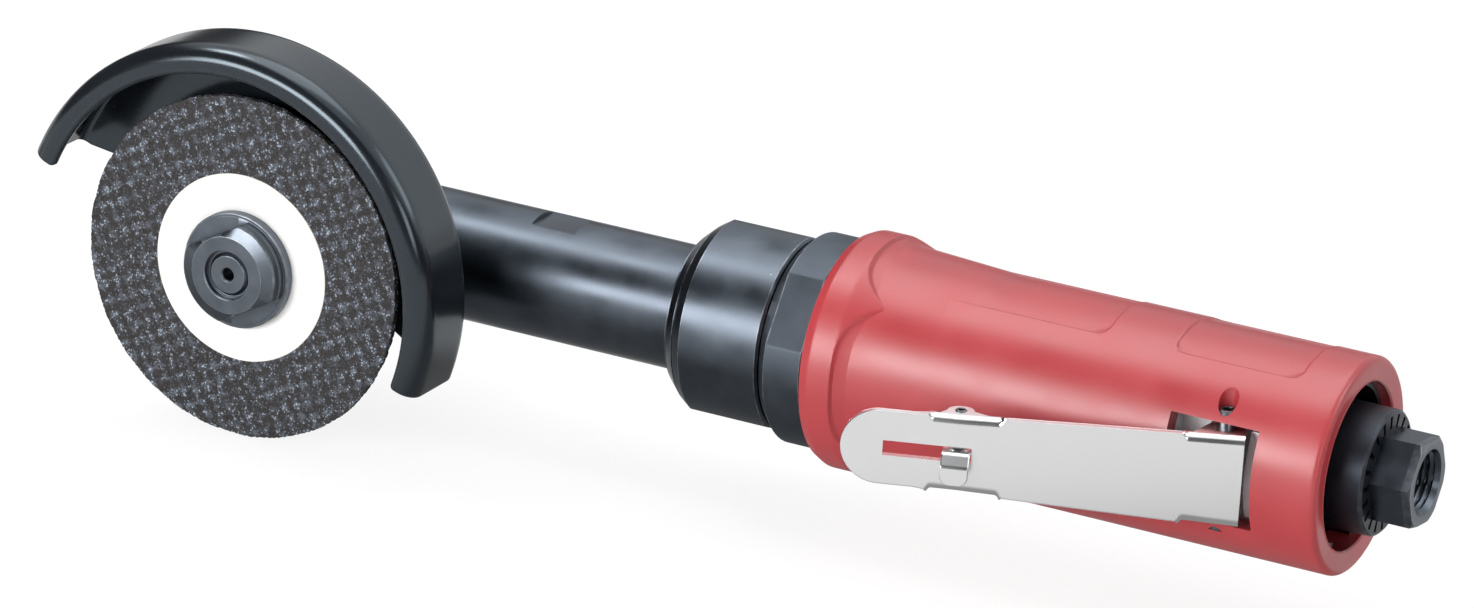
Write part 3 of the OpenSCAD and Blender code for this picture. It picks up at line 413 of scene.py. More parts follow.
def extruded(frame: Frame, outline: Array, low: float, high: float, edge: float = 0.15) -> Skin:
    """A plate: an outline of x and y between two stations, with chamfered edges.

    The sides are the outline at low, low + edge, high - edge and high, drawn in at both ends
    along the outline's normal, and each face is one polygon.

    Args:
        frame: Where the outline lies.
        outline: Points, n by 2, anticlockwise.
        low: Lower station.
        high: Upper station.
        edge: Width of the chamfers.

    Returns:
        The closed skin.
    """
    drawn = outline - right_of(np.roll(outline, -1, 0) - np.roll(outline, 1, 0)) * edge
    rows = [(drawn, low), (outline, low + edge), (outline, high - edge), (drawn, high)]
    points = np.stack([frame.lay(p[:, 0], p[:, 1], z) for p, z in rows])
    wear = np.repeat([[0.6], [1.0], [1.0], [0.6]], len(outline), 1)
    skin = grid_skin(points, wear, False, True)
    count = len(outline)
    skin.faces += [list(range(count)), list(range(4 * count - 1, 3 * count - 1, -1))]
    first, lid = skin.faces[0], skin.faces[-2]
    step = {(first[k], first[(k + 1) % 4]) for k in range(4)}
    if (lid[0], lid[1]) in step:
        skin.faces[-2:] = [f[::-1] for f in skin.faces[-2:]]
    return skin.outward()


def coil(frame: Frame, mean: float, wire: float, begin: float, length: float, turns: float) -> Skin:
    """Round wire on a helix: a circle in the radial plane, carried up as it turns.

    Args:
        frame: Where the coil's axis lies.
        mean: Radius of the helix.
        wire: Diameter of the wire.
        begin: Station of the coil's foot.
        length: Height of the coil.
        turns: Number of turns.

    Returns:
        The closed skin, with a point at each end of the wire.
    """
    steps, sides, taper = 32, 12, 40
    t = np.linspace(0, 1, int(turns * steps) + 1)[None]
    around = np.linspace(0, 2 * np.pi, sides, endpoint=False)[:, None]
    size = wire / 2 * np.clip(np.minimum(t, 1 - t) * taper * turns, 0.0, 1) ** 0.5
    radius = mean + size * np.cos(around)
    station = begin + wire / 2 + t * (length - wire) + size * np.sin(around)
    points = frame.turn(radius, station, np.broadcast_to(t * turns * 2 * np.pi, radius.shape))
    return grid_skin(points, np.zeros(radius.shape), True, False)


def block(low: Point, high: Point) -> Skin:
    """A box between two corners in the tool's own millimetres, for cutting."""
    return extruded(TOOL, rectangle(low, high), low[2], high[2], CUT_EDGE)


def rod(frame: Frame, radius: float, low: float, high: float) -> Skin:
    """A round bar between two stations, for cutting."""
    outline = np.array([[0, low], [radius, low], [radius, high], [0, high]], float)
    return turned(frame, (outline, np.zeros(4)), ring_angles(72))


# Finishes


class Wiring:
    """Adds nodes to one shader tree and joins them."""

    def __init__(self, tree: bpy.types.NodeTree) -> None:
        """Keeps the tree."""
        self.tree = tree

    def fill(self, node: bpy.types.Node, inputs: dict) -> None:
        """Sets a node's inputs.

        Args:
            node: A node of the tree.
            inputs: Sockets by name or index, each with a value or the socket that feeds it.
        """
        for key, value in inputs.items():
            if isinstance(value, bpy.types.NodeSocket):
                self.tree.links.new(value, node.inputs[key])
            else:
                node.inputs[key].default_value = value

    def add(self, kind: str, inputs: dict | None = None, **settings: object) -> bpy.types.Node:
        """Makes a node.

        Args:
            kind: Blender's name of the node's type.
            inputs: As in fill().
            settings: Properties of the node.

        Returns:
            The node.
        """
        node = self.tree.nodes.new(kind)
        for name, value in settings.items():
            setattr(node, name, value)
        self.fill(node, inputs or {})
        return node

    def group(self, tree: bpy.types.NodeTree, inputs: dict) -> bpy.types.Node:
        """Puts a shared node group into the tree."""
        return self.add("ShaderNodeGroup", inputs, node_tree=tree)

    def math(self, operation: str, a: object, b: object = 0.0, clamp: bool = False) -> bpy.types.NodeSocket:
        """One operation on two numbers, as an output socket."""
        return self.add("ShaderNodeMath", {0: a, 1: b}, operation=operation, use_clamp=clamp).outputs[0]

    def mix(self, factor: object, a: object, b: object) -> bpy.types.NodeSocket:
        """A blend of two colours, as an output socket."""
        return self.add("ShaderNodeMix", {0: factor, 6: a, 7: b}, data_type="RGBA").outputs[2]

    def span(
        self, value: object, low: float, high: float, to_low: object, to_high: object
    ) -> bpy.types.NodeSocket:
        """A value carried from one range to another and held inside it."""
        numbers = {0: value, 1: low, 2: high, 3: to_low, 4: to_high}
        return self.add("ShaderNodeMapRange", numbers).outputs[0]

    def noise(
        self, vector: object, scale: object, detail: float, roughness: float = 0.5
    ) -> bpy.types.NodeSocket:
        """The value of a noise at a vector, as an output socket."""
        inputs = {"Vector": vector, "Scale": scale, "Detail": detail, "Roughness": roughness}
        return self.add("ShaderNodeTexNoise", inputs).outputs[0]


def rgba(color: Color) -> tuple[float, float, float, float]:
    """A colour with full alpha."""
    return (*color, 1.0)


def new_group(
    name: str, inputs: dict[str, str], outputs: dict[str, str]
) -> tuple[Wiring, Callable, Callable]:
    """Starts a shader node group.

    Args:
        name: Name of the group.
        inputs: Socket types by name.
        outputs: Socket types by name.

    Returns:
        The wiring, a function that gives an input's socket, and one that feeds an output.
    """
    tree = bpy.data.node_groups.new(name, "ShaderNodeTree")
    for in_out, sockets in (("INPUT", inputs), ("OUTPUT", outputs)):
        for socket, kind in sockets.items():
            tree.interface.new_socket(name=socket, in_out=in_out, socket_type="NodeSocket" + kind)
    wiring = Wiring(tree)
    entry, leave = wiring.add("NodeGroupInput"), wiring.add("NodeGroupOutput")
    return wiring, lambda s: entry.outputs[s], lambda s, v: tree.links.new(v, leave.inputs[s])


def grain_group() -> bpy.types.NodeTree:
    """Fine grain and slow drift: one small and one large noise on the same vector.

    Returns:
        The group's node tree.
    """
    w, given, feed = new_group(
        "surface_grain",
        {"Vector": "Vector", "Grain Scale": "Float", "Drift Scale": "Float"},
        {"Grain": "Float", "Drift": "Float"},
    )
    feed("Grain", w.noise(given("Vector"), given("Grain Scale"), 2.0))
    drift = w.noise(given("Vector"), given("Drift Scale"), 4.0)
    feed("Drift", w.span(drift, 0.3, 0.7, 0.0, 1.0))
    return w.tree


def wear_group() -> bpy.types.NodeTree:
    """Worn edges: the piece's wear attribute, broken up by noise, blends in a worn colour.

    Returns:
        The group's node tree.
    """
    w, given, feed = new_group(
        "edge_wear",
        {"Color": "Color", "Worn Color": "Color", "Vector": "Vector", "Amount": "Float"},
        {"Color": "Color"},
    )
    edge = w.add("ShaderNodeAttribute", attribute_name="wear").outputs["Fac"]
    patch = w.noise(given("Vector"), WEAR_SCALE, 5.0)
    broken = w.math("MULTIPLY", edge, w.span(patch, 0.35, 0.65, 0.1, 1.0))
    mask = w.math("MULTIPLY", broken, given("Amount"), True)
    feed("Color", w.mix(mask, given("Color"), given("Worn Color")))
    return w.tree


def speck_group() -> bpy.types.NodeTree:
    """Scattered pale specks of dust: cells whose middle is near and whose own number is high.

    Returns:
        The group's node tree.
    """
    w, given, feed = new_group("dust_specks", {"Vector": "Vector", "Amount": "Float"}, {"Mask": "Float"})
    cells = w.add("ShaderNodeTexVoronoi", {"Vector": given("Vector"), "Scale": SPECK_SCALE})
    near = w.math("LESS_THAN", cells.outputs["Distance"], SPECK_SIZE)
    pick = w.add("ShaderNodeSeparateColor", {0: cells.outputs["Color"]})
    chosen = w.math("GREATER_THAN", pick.outputs[0], SPECK_FROM)
    feed("Mask", w.math("MULTIPLY", w.math("MULTIPLY", near, chosen), given("Amount")))
    return w.tree


def line_group() -> bpy.types.NodeTree:
    """Tool marks: noise of one number, such as a station or a radius, so that lines follow it.

    Returns:
        The group's node tree.
    """
    w, given, feed = new_group("tool_marks", {"Along": "Float", "Density": "Float"}, {"Lines": "Float"})
    scaled = w.math("MULTIPLY", given("Along"), given("Density"))
    noise = w.add("ShaderNodeTexNoise", {"W": scaled, "Scale": 1.0, "Detail": 3.0}, noise_dimensions="1D")
    feed("Lines", noise.outputs[0])
    return w.tree


class Marks(Enum):
    """What a finish's tool marks follow."""

    NONE = "none"
    MOTOR_STATION = "lathe marks round the motor axis"
    SPINDLE_RADIUS = "lathe marks on faces round the spindle"
    LEVER_WIDTH = "rolling marks along the lever"


@dataclass
class Palette:
    """The shared node groups and the materials made so far, by slot."""

    grain: bpy.types.NodeTree = field(default_factory=grain_group)
    wear: bpy.types.NodeTree = field(default_factory=wear_group)
    specks: bpy.types.NodeTree = field(default_factory=speck_group)
    lines: bpy.types.NodeTree = field(default_factory=line_group)
    made: dict[str, bpy.types.Material] = field(default_factory=dict)


def new_material(name: str) -> tuple[bpy.types.Material, Wiring, bpy.types.Node, bpy.types.NodeSocket]:
    """Starts a material.

    Args:
        name: Name of the material.

    Returns:
        The material, its wiring, its Principled BSDF and its Object coordinates.
    """
    material = bpy.data.materials.new(name)
    material.use_nodes = True
    wiring = Wiring(material.node_tree)
    place = wiring.add("ShaderNodeTexCoord").outputs["Object"]
    return material, wiring, material.node_tree.nodes["Principled BSDF"], place


@dataclass(frozen=True)
class Finish:
    """A plain finish: colour with drift and wear, grain, marks and dust. Lengths are in mm."""

    slot: str
    color: Color
    roughness: float
    metallic: float = 0.0
    drift: float = 0.15
    drift_size: float = 9.0
    rough_drift: float = 0.06
    grain_size: float = 0.35
    grain_depth: float = 0.004
    worn: Color = (0.5, 0.5, 0.5)
    wear: float = 0.0
    marks: Marks = Marks.NONE
    mark_size: float = 0.25
    mark_depth: float = 0.003
    specks: float = 0.0
    dust: Color = (0.6, 0.6, 0.6)
    shine: float = 0.5
    # Tint of the specular reflections; a blue one paints a cool cast into the reflections, in place of a
    # coloured light
    tint: Color = (1.0, 1.0, 1.0)

    def along(self, w: Wiring, place: bpy.types.NodeSocket) -> bpy.types.NodeSocket:
        """The number that the tool marks follow, in metres.

        Args:
            w: The material's wiring.
            place: Object coordinates.

        Returns:
            Station, radius from the spindle, or height on the lever.
        """
        parts = w.add("ShaderNodeSeparateXYZ", {0: place})
        if self.marks is Marks.MOTOR_STATION:
            return parts.outputs[0]
        if self.marks is Marks.LEVER_WIDTH:
            return parts.outputs[2]
        ahead = w.math("ADD", parts.outputs[0], INLET_X * MM)
        flat = w.add("ShaderNodeCombineXYZ", {0: ahead, 2: parts.outputs[2]})
        return w.add("ShaderNodeVectorMath", {0: flat.outputs[0]}, operation="LENGTH").outputs["Value"]

    def build(self, palette: Palette) -> None:
        """Makes the material from the shared groups and keeps it under its slot.

        Args:
            palette: Shared groups and finished materials.
        """
        material, w, shader, place = new_material(self.slot)
        scales = {"Grain Scale": 1 / (self.grain_size * MM), "Drift Scale": 1 / (self.drift_size * MM)}
        grain = w.group(palette.grain, {"Vector": place, **scales})
        drift = grain.outputs["Drift"]
        dark = tuple(c * (1 - self.drift) for c in self.color)
        light = tuple(min(1.0, c * (1 + self.drift)) for c in self.color)
        fresh = {"Color": w.mix(drift, rgba(dark), rgba(light)), "Vector": place}
        worn = w.group(palette.wear, {**fresh, "Worn Color": rgba(self.worn), "Amount": self.wear})
        color = worn.outputs["Color"]
        if self.specks:
            dust = w.group(palette.specks, {"Vector": place, "Amount": self.specks})
            color = w.mix(dust.outputs["Mask"], color, rgba(self.dust))
        rough = w.span(drift, 0, 1, self.roughness - self.rough_drift, self.roughness + self.rough_drift)
        matte = w.add("ShaderNodeAttribute", attribute_name="matte").outputs["Fac"]
        rough = w.math("ADD", rough, matte, True)
        bump = w.add("ShaderNodeBump", {"Height": grain.outputs["Grain"], "Distance": self.grain_depth * MM})
        if self.marks is not Marks.NONE:
            density = 1 / (self.mark_size * MM)
            lines = w.group(palette.lines, {"Along": self.along(w, place), "Density": density})
            depth = {"Height": lines.outputs[0], "Distance": self.mark_depth * MM, "Normal": bump.outputs[0]}
            bump = w.add("ShaderNodeBump", depth)
        w.fill(shader, {"Base Color": color, "Roughness": rough, "Normal": bump.outputs[0]})
        gloss = {"Specular IOR Level": self.shine, "Specular Tint": rgba(self.tint)}
        w.fill(shader, {"Metallic": self.metallic, **gloss})
        palette.made[self.slot] = material


@dataclass(frozen=True)
class AbrasiveFinish:
    """Resin-bonded grit pressed over a glass mesh, with bright crystals.

    Lengths are in mm, and scales of noise are per metre.
    """

    slot: str = "abrasive"
    resin: Color = (0.042, 0.038, 0.039)
    dust: Color = (0.215, 0.255, 0.315)
    crystal: Color = (0.66, 0.77, 0.90)
    mesh_pitch: float = 3.3
    mesh_turn: float = 27.0
    sway: float = 5.0
    sway_scale: float = 160.0
    blot_scale: float = 210.0
    patch_scale: float = 700.0
    patch_rough: float = 0.7
    grit_size: float = 0.32
    grit_depth: float = 0.14
    grit_crown: float = -0.8
    pit_painted_shade: float = 0.3
    crystal_from: float = 0.90
    crystal_share: float = 0.55
    rough_resin: float = 0.62
    rough_crystal: float = 0.25
    shine: float = 0.3

    def build(self, palette: Palette) -> None:
        """Makes the material: grit cells, mesh crossings that hold pale dust, and crystals.

        Args:
            palette: Where the material is kept.
        """
        material, w, shader, place = new_material(self.slot)
        turn = (0.0, math.radians(self.mesh_turn), 0.0)
        scale = (2 * math.pi / (self.mesh_pitch * MM),) * 3
        mesh = w.add("ShaderNodeMapping", {"Vector": place, "Rotation": turn, "Scale": scale})
        parts = w.add("ShaderNodeSeparateXYZ", {0: mesh.outputs[0]})
        sway = w.math("MULTIPLY", w.noise(place, self.sway_scale, 2.0), self.sway)
        waves = [w.math("SINE", w.math("ADD", parts.outputs[k], sway)) for k in (0, 2)]
        knots = w.math("ADD", *(w.math("MULTIPLY", wave, 0.5) for wave in waves))
        grit = w.add("ShaderNodeTexVoronoi", {"Vector": place, "Scale": 1 / (self.grit_size * MM)})
        shade = w.add("ShaderNodeSeparateColor", {0: grit.outputs["Color"]})
        blot = w.span(w.noise(place, self.blot_scale, 3.0), 0.35, 0.65, 0.06, 0.3)
        patch = w.noise(place, self.patch_scale, 4.0, self.patch_rough)
        cloud = w.math("ADD", w.math("MULTIPLY", knots, blot), w.span(patch, 0.3, 0.7, 0.24, 0.76))
        held = w.span(shade.outputs[1], 0, 1, 0.25, 1.0)
        pale = w.math("MULTIPLY", w.span(cloud, 0.46, 0.84, 0.0, 1.0), held)
        color = w.mix(pale, rgba(self.resin), rgba(self.dust))
        # Painted shade: the grit cells that sit low are darkened towards a darker resin, as shade in the
        # hollows between grains
        pit = rgba(tuple(c * self.pit_painted_shade for c in self.resin))
        color = w.mix(w.span(shade.outputs[0], 0.0, 0.45, 0.35, 1.0), pit, color)
        chosen = w.math("GREATER_THAN", shade.outputs[2], self.crystal_from)
        spark = w.math("MULTIPLY", chosen, w.span(cloud, 0.4, 0.65, 0.15, 1.0))
        color = w.mix(w.math("MULTIPLY", spark, self.crystal_share), color, rgba(self.crystal))
        rough = w.span(spark, 0, 1, self.rough_resin, self.rough_crystal)
        crown = w.math("MULTIPLY", grit.outputs["Distance"], self.grit_crown)
        height = w.math("ADD", shade.outputs[0], crown)
        bump = w.add("ShaderNodeBump", {"Height": height, "Distance": self.grit_depth * MM})
        w.fill(shader, {"Base Color": color, "Roughness": rough, "Normal": bump.outputs[0]})
        w.fill(shader, {"Specular IOR Level": self.shine})
        palette.made[self.slot] = material


FINISHES = (
    Finish(
        "red_plastic", (0.455, 0.038, 0.046), 0.37, drift=0.05, drift_size=14, rough_drift=0.05,
        grain_size=0.30, grain_depth=0.012, worn=(0.62, 0.10, 0.11), wear=0.35, shine=0.85,
    ),
    Finish(
        "black_oxide", (0.088, 0.102, 0.122), 0.34, 1.0, drift=0.22, drift_size=11, rough_drift=0.07,
        worn=(0.42, 0.44, 0.47), wear=0.55, marks=Marks.MOTOR_STATION, mark_size=0.2, mark_depth=0.002,
        specks=0.35,
    ),
    # Its specular tint paints a cool blue cast into the enamel's reflections
    Finish(
        "black_enamel", (0.008, 0.010, 0.013), 0.19, drift=0.12, drift_size=20, rough_drift=0.03,
        grain_size=0.9, grain_depth=0.002, worn=(0.08, 0.09, 0.10), wear=0.15, specks=0.12, shine=0.75,
        tint=(0.76, 0.9, 1.0),
    ),
    Finish(
        "grey_steel", (0.142, 0.162, 0.188), 0.36, 1.0, drift=0.12, drift_size=5, worn=(0.45, 0.48, 0.51),
        wear=0.5, marks=Marks.SPINDLE_RADIUS, mark_size=0.16, specks=0.3,
    ),
    Finish(
        "bright_steel", (0.86, 0.86, 0.865), 0.24, 1.0, drift=0.03, drift_size=12, rough_drift=0.04,
        grain_size=0.6, grain_depth=0.0004, worn=(0.9, 0.9, 0.9), wear=0.2, marks=Marks.LEVER_WIDTH,
        mark_size=0.12, mark_depth=0.0004,
    ),
    Finish("ground_steel", (0.52, 0.53, 0.55), 0.3, 1.0, worn=(0.8, 0.8, 0.8), wear=0.4),
    Finish("gear_steel", (0.16, 0.165, 0.18), 0.34, 1.0, marks=Marks.MOTOR_STATION),
    Finish("spring_steel", (0.4, 0.4, 0.42), 0.32, 1.0),
    Finish("cast_iron", (0.2, 0.2, 0.21), 0.5, 1.0, grain_depth=0.02),
    Finish("vane_laminate", (0.25, 0.13, 0.06), 0.6, drift=0.3, drift_size=2),
    Finish("bare_aluminium", (0.82, 0.82, 0.82), 0.6, 0.55, drift=0.08, marks=Marks.MOTOR_STATION),
    Finish("brass", (0.7, 0.52, 0.22), 0.3, 1.0),
    Finish("seal_rubber", (0.02, 0.02, 0.02), 0.7),
    # Its specular tint paints a cool blue cast into the plastic's reflections
    Finish(
        "black_plastic", (0.009, 0.009, 0.012), 0.42, drift=0.25, grain_depth=0.01, worn=(0.08, 0.08, 0.09),
        wear=0.4, specks=0.5, tint=(0.7, 0.82, 1.0),
    ),
    Finish("felt", (0.3, 0.27, 0.22), 0.9, grain_size=0.15, grain_depth=0.08),
    Finish(
        "label_paper", (0.885, 0.878, 0.86), 0.62, drift=0.02, drift_size=3, grain_size=0.12,
        worn=(0.72, 0.62, 0.45), wear=0.5,
    ),
)


# Pieces


@dataclass(frozen=True)
class Seat:
    """Where a new piece belongs: its body, the nodes that it stands for, and its slot.

    A piece with a foot body is left unattached where it is built; its foot's body and stations are not used
    further, and nothing bends it.
    """

    body: str
    nodes: tuple[str, ...]
    slot: str
    foot_body: str = ""
    foot_from: float = 0.0
    foot_to: float = 0.0


def make_piece(
    name: str, skin: Skin, seat: Seat, palette: Palette, cutters: Sequence[Skin] = (), merge: bool = False,
    matte: float = 0.0,
) -> None:
    """Puts a skin into the scene as a piece, at the origin.

    Args:
        name: Name of the piece.
        skin: Its faces, in metres in the row frame.
        seat: Body, nodes and slot.
        palette: Materials by slot.
        cutters: Closed skins that are cut out of it.
        merge: The skin's own shells run into each other and become one.
        matte: What is added to the finish's roughness on this piece.
    """
    piece = mesh_object(name, skin)
    for k, cutter in enumerate(cutters):
        tool = mesh_object(f"{name}_cut{k}", cutter)
        cut = piece.modifiers.new(f"cut{k}", "BOOLEAN")
        cut.object, cut.operation, cut.solver = tool, "DIFFERENCE", "EXACT"
        cut.use_self = merge
    if cutters:
        graph = bpy.context.evaluated_depsgraph_get()
        cut_mesh = bpy.data.meshes.new_from_object(piece.evaluated_get(graph))
        tools = [m.object for m in piece.modifiers]
        piece.modifiers.clear()
        piece.data = cut_mesh
        for tool in tools:
            bpy.data.objects.remove(tool)
    piece.data.shade_smooth()
    piece.data.set_sharp_from_angle(angle=SHARP_ANGLE)
    piece.data.materials.clear()
    piece.data.materials.append(palette.made[seat.slot])
    layer = piece.data.attributes.new("matte", "FLOAT", "POINT")
    layer.data.foreach_set("value", np.full(len(piece.data.vertices), matte, np.float32))
    if seat.nodes:
        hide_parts(*seat.nodes)
    if seat.foot_body:
        foot, head = (MOTOR.turn(0.0, station, 0.0) for station in (seat.foot_from, seat.foot_to))
        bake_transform(piece)
    else:
        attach(piece, seat.body)
    LOG.info("%s: %d faces on %s", name, len(piece.data.polygons), seat.body)


def mesh_object(name: str, skin: Skin) -> bpy.types.Object:
    """An object of a skin, with its poles closed and its wear mask as an attribute.

    Args:
        name: Name of the object.
        skin: Points and faces.

    Returns:
        The object, linked to the scene.
    """
    mesh = bpy.data.meshes.new(name)
    mesh.from_pydata(skin.points.tolist(), [], skin.faces)
    layer = mesh.attributes.new("wear", "FLOAT", "POINT")
    layer.data.foreach_set("value", skin.wear.astype(np.float32))
    work = bmesh.new()
    work.from_mesh(mesh)
    bmesh.ops.remove_doubles(work, verts=work.verts, dist=WELD)
    bmesh.ops.dissolve_degenerate(work, edges=work.edges, dist=SLIVER)
    work.to_mesh(mesh)
    work.free()
    mesh.update()
    piece = bpy.data.objects.new(name, mesh)
    bpy.context.scene.collection.objects.link(piece)
    return piece


@dataclass
class Wheel:
    """The cut-off wheel, its label, the flange nut and the spindle that carries them."""

    radius: float = 38.1
    back: float = 33.8
    thick: float = 1.6
    arbor: float = 4.76
    rings: int = 60
    columns: int = 540
    rim_steps: tuple[float, float, float] = (0.9, 0.5, 0.15)
    rim_shares: tuple[float, float, float] = (0.22, 0.5, 0.78)
    rough_face: float = 0.1
    pit_fade: float = 1.5
    ragged: float = 0.55
    chip_reach: float = 1.2
    chip_columns: int = 6
    chip_shares: tuple[float, float] = (0.45, 0.55)
    seed: int = 7
    label_radius: float = 20.8
    label_hole: float = 5.2
    label_thick: float = 0.2
    nut_radius: float = 12.8
    nut_flange: float = 2.2
    nut_fit: float = 0.02
    nut_turn: float = 28.9
    boss_radius: float = 11.9
    boss_across: float = 17.5
    boss_height: float = 3.7
    face_radius: float = 8.5
    bevel_height: float = 2.2
    brow: tuple[float, float] = (0.7, 1.1)
    recess: float = 0.6
    recess_depth: float = 1.3
    recess_bevel: float = 0.2
    cap_seat: float = 2.98
    cap_seat_from: float = -13.74
    cap_seat_to: float = -8.64
    shaft: float = 5.98
    shoulder: float = 7.5
    shoulder_from: float = 21.5
    shoulder_to: float = 31.4
    screw: float = 4.74
    screw_bevel: tuple[float, float] = (0.64, 0.6)
    screw_sunk: float = 0.6
    centre_hole: float = 1.35
    centre_bevel: float = 0.3
    centre_depth: float = 6.0

    @property
    def front(self) -> float:
        """Station of the wheel's front face."""
        return self.back + self.thick

    @property
    def nut_back(self) -> float:
        """Station of the nut's back face."""
        return self.front + self.label_thick

    @property
    def nut_front(self) -> float:
        """Station of the nut's front face."""
        return self.nut_back + self.nut_flange + self.boss_height

    def disc(self) -> Skin:
        """The wheel: a thin disc whose faces are pitted and whose rim is chipped by a seeded draw.

        Returns:
            The closed skin.
        """
        rng = np.random.default_rng(self.seed)
        rim, cols, every = self.radius, self.columns, self.chip_columns
        outer = rim - np.array(self.rim_steps)
        face = np.concatenate([np.linspace(self.arbor, outer[0], self.rings), outer[1:]])
        radius = np.concatenate([face, [rim, rim, rim], face[::-1]])
        side = self.front - np.array(self.rim_shares) * self.thick
        station = np.concatenate([np.full(len(face), self.front), side, np.full(len(face), self.back)])
        angles = np.linspace(0, 2 * np.pi, cols, endpoint=False)
        r, s, a = np.broadcast_arrays(radius[:, None], station[:, None], angles[None])
        pits = rng.random(r.shape) ** 2 * self.rough_face
        clear = smooth_step((r - self.label_radius) / self.pit_fade)
        inwards = np.where(np.arange(len(radius)) < len(face) + 2, -1.0, 1.0)[:, None]
        s = s + inwards * pits * clear
        spots = np.arange(0, cols + every, every)
        coarse = np.interp(np.arange(cols), spots, rng.random(len(spots)), period=cols)
        fine = rng.random((len(radius), cols)) ** 2
        chips = (self.chip_shares[0] * coarse + self.chip_shares[1] * fine) * self.ragged
        r = r - chips * smooth_step((r - rim + self.chip_reach) / self.chip_reach)
        return grid_skin(SPINDLE.turn(r, s, a), np.zeros(r.shape), True, True)

    def label(self) -> Skin:
        """The bare paper disc on the wheel's face.

        Returns:
            The closed skin.
        """
        corners = [
            (self.label_hole, self.front, 0.0),
            (self.label_radius, self.front, 0.05),
            (self.label_radius, self.nut_back, 0.08),
            (self.label_hole, self.nut_back, 0.0),
        ]
        return turned(SPINDLE, rounded(corners, 3, 0.3), ring_angles(240))

    def nut(self) -> Skin:
        """The nut: a round flange and a chamfered boss with two flats and a recess.

        Returns:
            The closed skin.
        """
        back, step, end = self.nut_back, self.nut_back + self.nut_flange, self.nut_front
        hole, recess = self.arbor + self.nut_fit, self.arbor + self.recess
        corners = [
            (hole, back, 0.1),
            (self.nut_radius, back, 0.25),
            (self.nut_radius, step, 0.3),
            (self.boss_radius, step, 0.15),
            (self.boss_radius, end - self.bevel_height, 0.15),
            (self.boss_radius - self.brow[0], end - self.brow[1], 0.9),
            (self.face_radius, end, 0.25),
            (recess + self.recess_bevel, end, 0.12),
            (recess, end - self.recess_bevel, 0.08),
            (recess, end - self.recess_depth, 0.1),
            (hole, end - self.recess_depth, 0.1),
        ]
        facing = 90 + self.nut_turn
        knots = flat_knots(self.boss_across, 2 * self.boss_radius, facing)
        shape = flats(self.boss_across, facing, step + 0.05, soft=0.1)
        return turned(SPINDLE, rounded(corners, 4), ring_angles(240, knots, 3.0), shape)

    def spindle(self) -> Skin:
        """The spindle: stepped seats for both bearings, the flange and the nut, and a centre hole.

        Returns:
            The closed skin.
        """
        tip = self.nut_front - self.screw_sunk
        floor = self.nut_front - self.centre_depth
        corners = [
            (0, self.cap_seat_from, 0),
            (self.cap_seat, self.cap_seat_from, 0.3),
            (self.cap_seat, self.cap_seat_to, 0.1),
            (self.shaft, self.cap_seat_to, 0.3),
            (self.shaft, self.shoulder_from, 0.0),
            (self.shoulder, self.shoulder_from, 0.2),
            (self.shoulder, self.shoulder_to, 0.2),
            (self.screw, self.shoulder_to, 0.0),
            (self.screw, tip - self.screw_bevel[1], 0.15),
            (self.screw - self.screw_bevel[0], tip, 0.15),
            (self.centre_hole + self.centre_bevel, tip, 0.1),
            (self.centre_hole, tip - self.centre_bevel, 0.1),
            (self.centre_hole, floor, 0.0),
            (0, floor, 0),
        ]
        return turned(SPINDLE, rounded(corners, 4), ring_angles(96))

    def build(self, palette: Palette) -> None:
        """Makes the pieces that spin with the spindle.

        Args:
            palette: Materials by slot.
        """
        for name, skin, node, slot in (
            ("wheel_disc", self.disc(), "cutoff_wheel", "abrasive"),
            ("wheel_paper", self.label(), "wheel_label", "label_paper"),
            ("wheel_nut", self.nut(), "flange_nut", "grey_steel"),
            ("wheel_shaft", self.spindle(), "spindle", "grey_steel"),
        ):
            make_piece(name, skin, Seat("wheel_spindle", (node,), slot), palette)


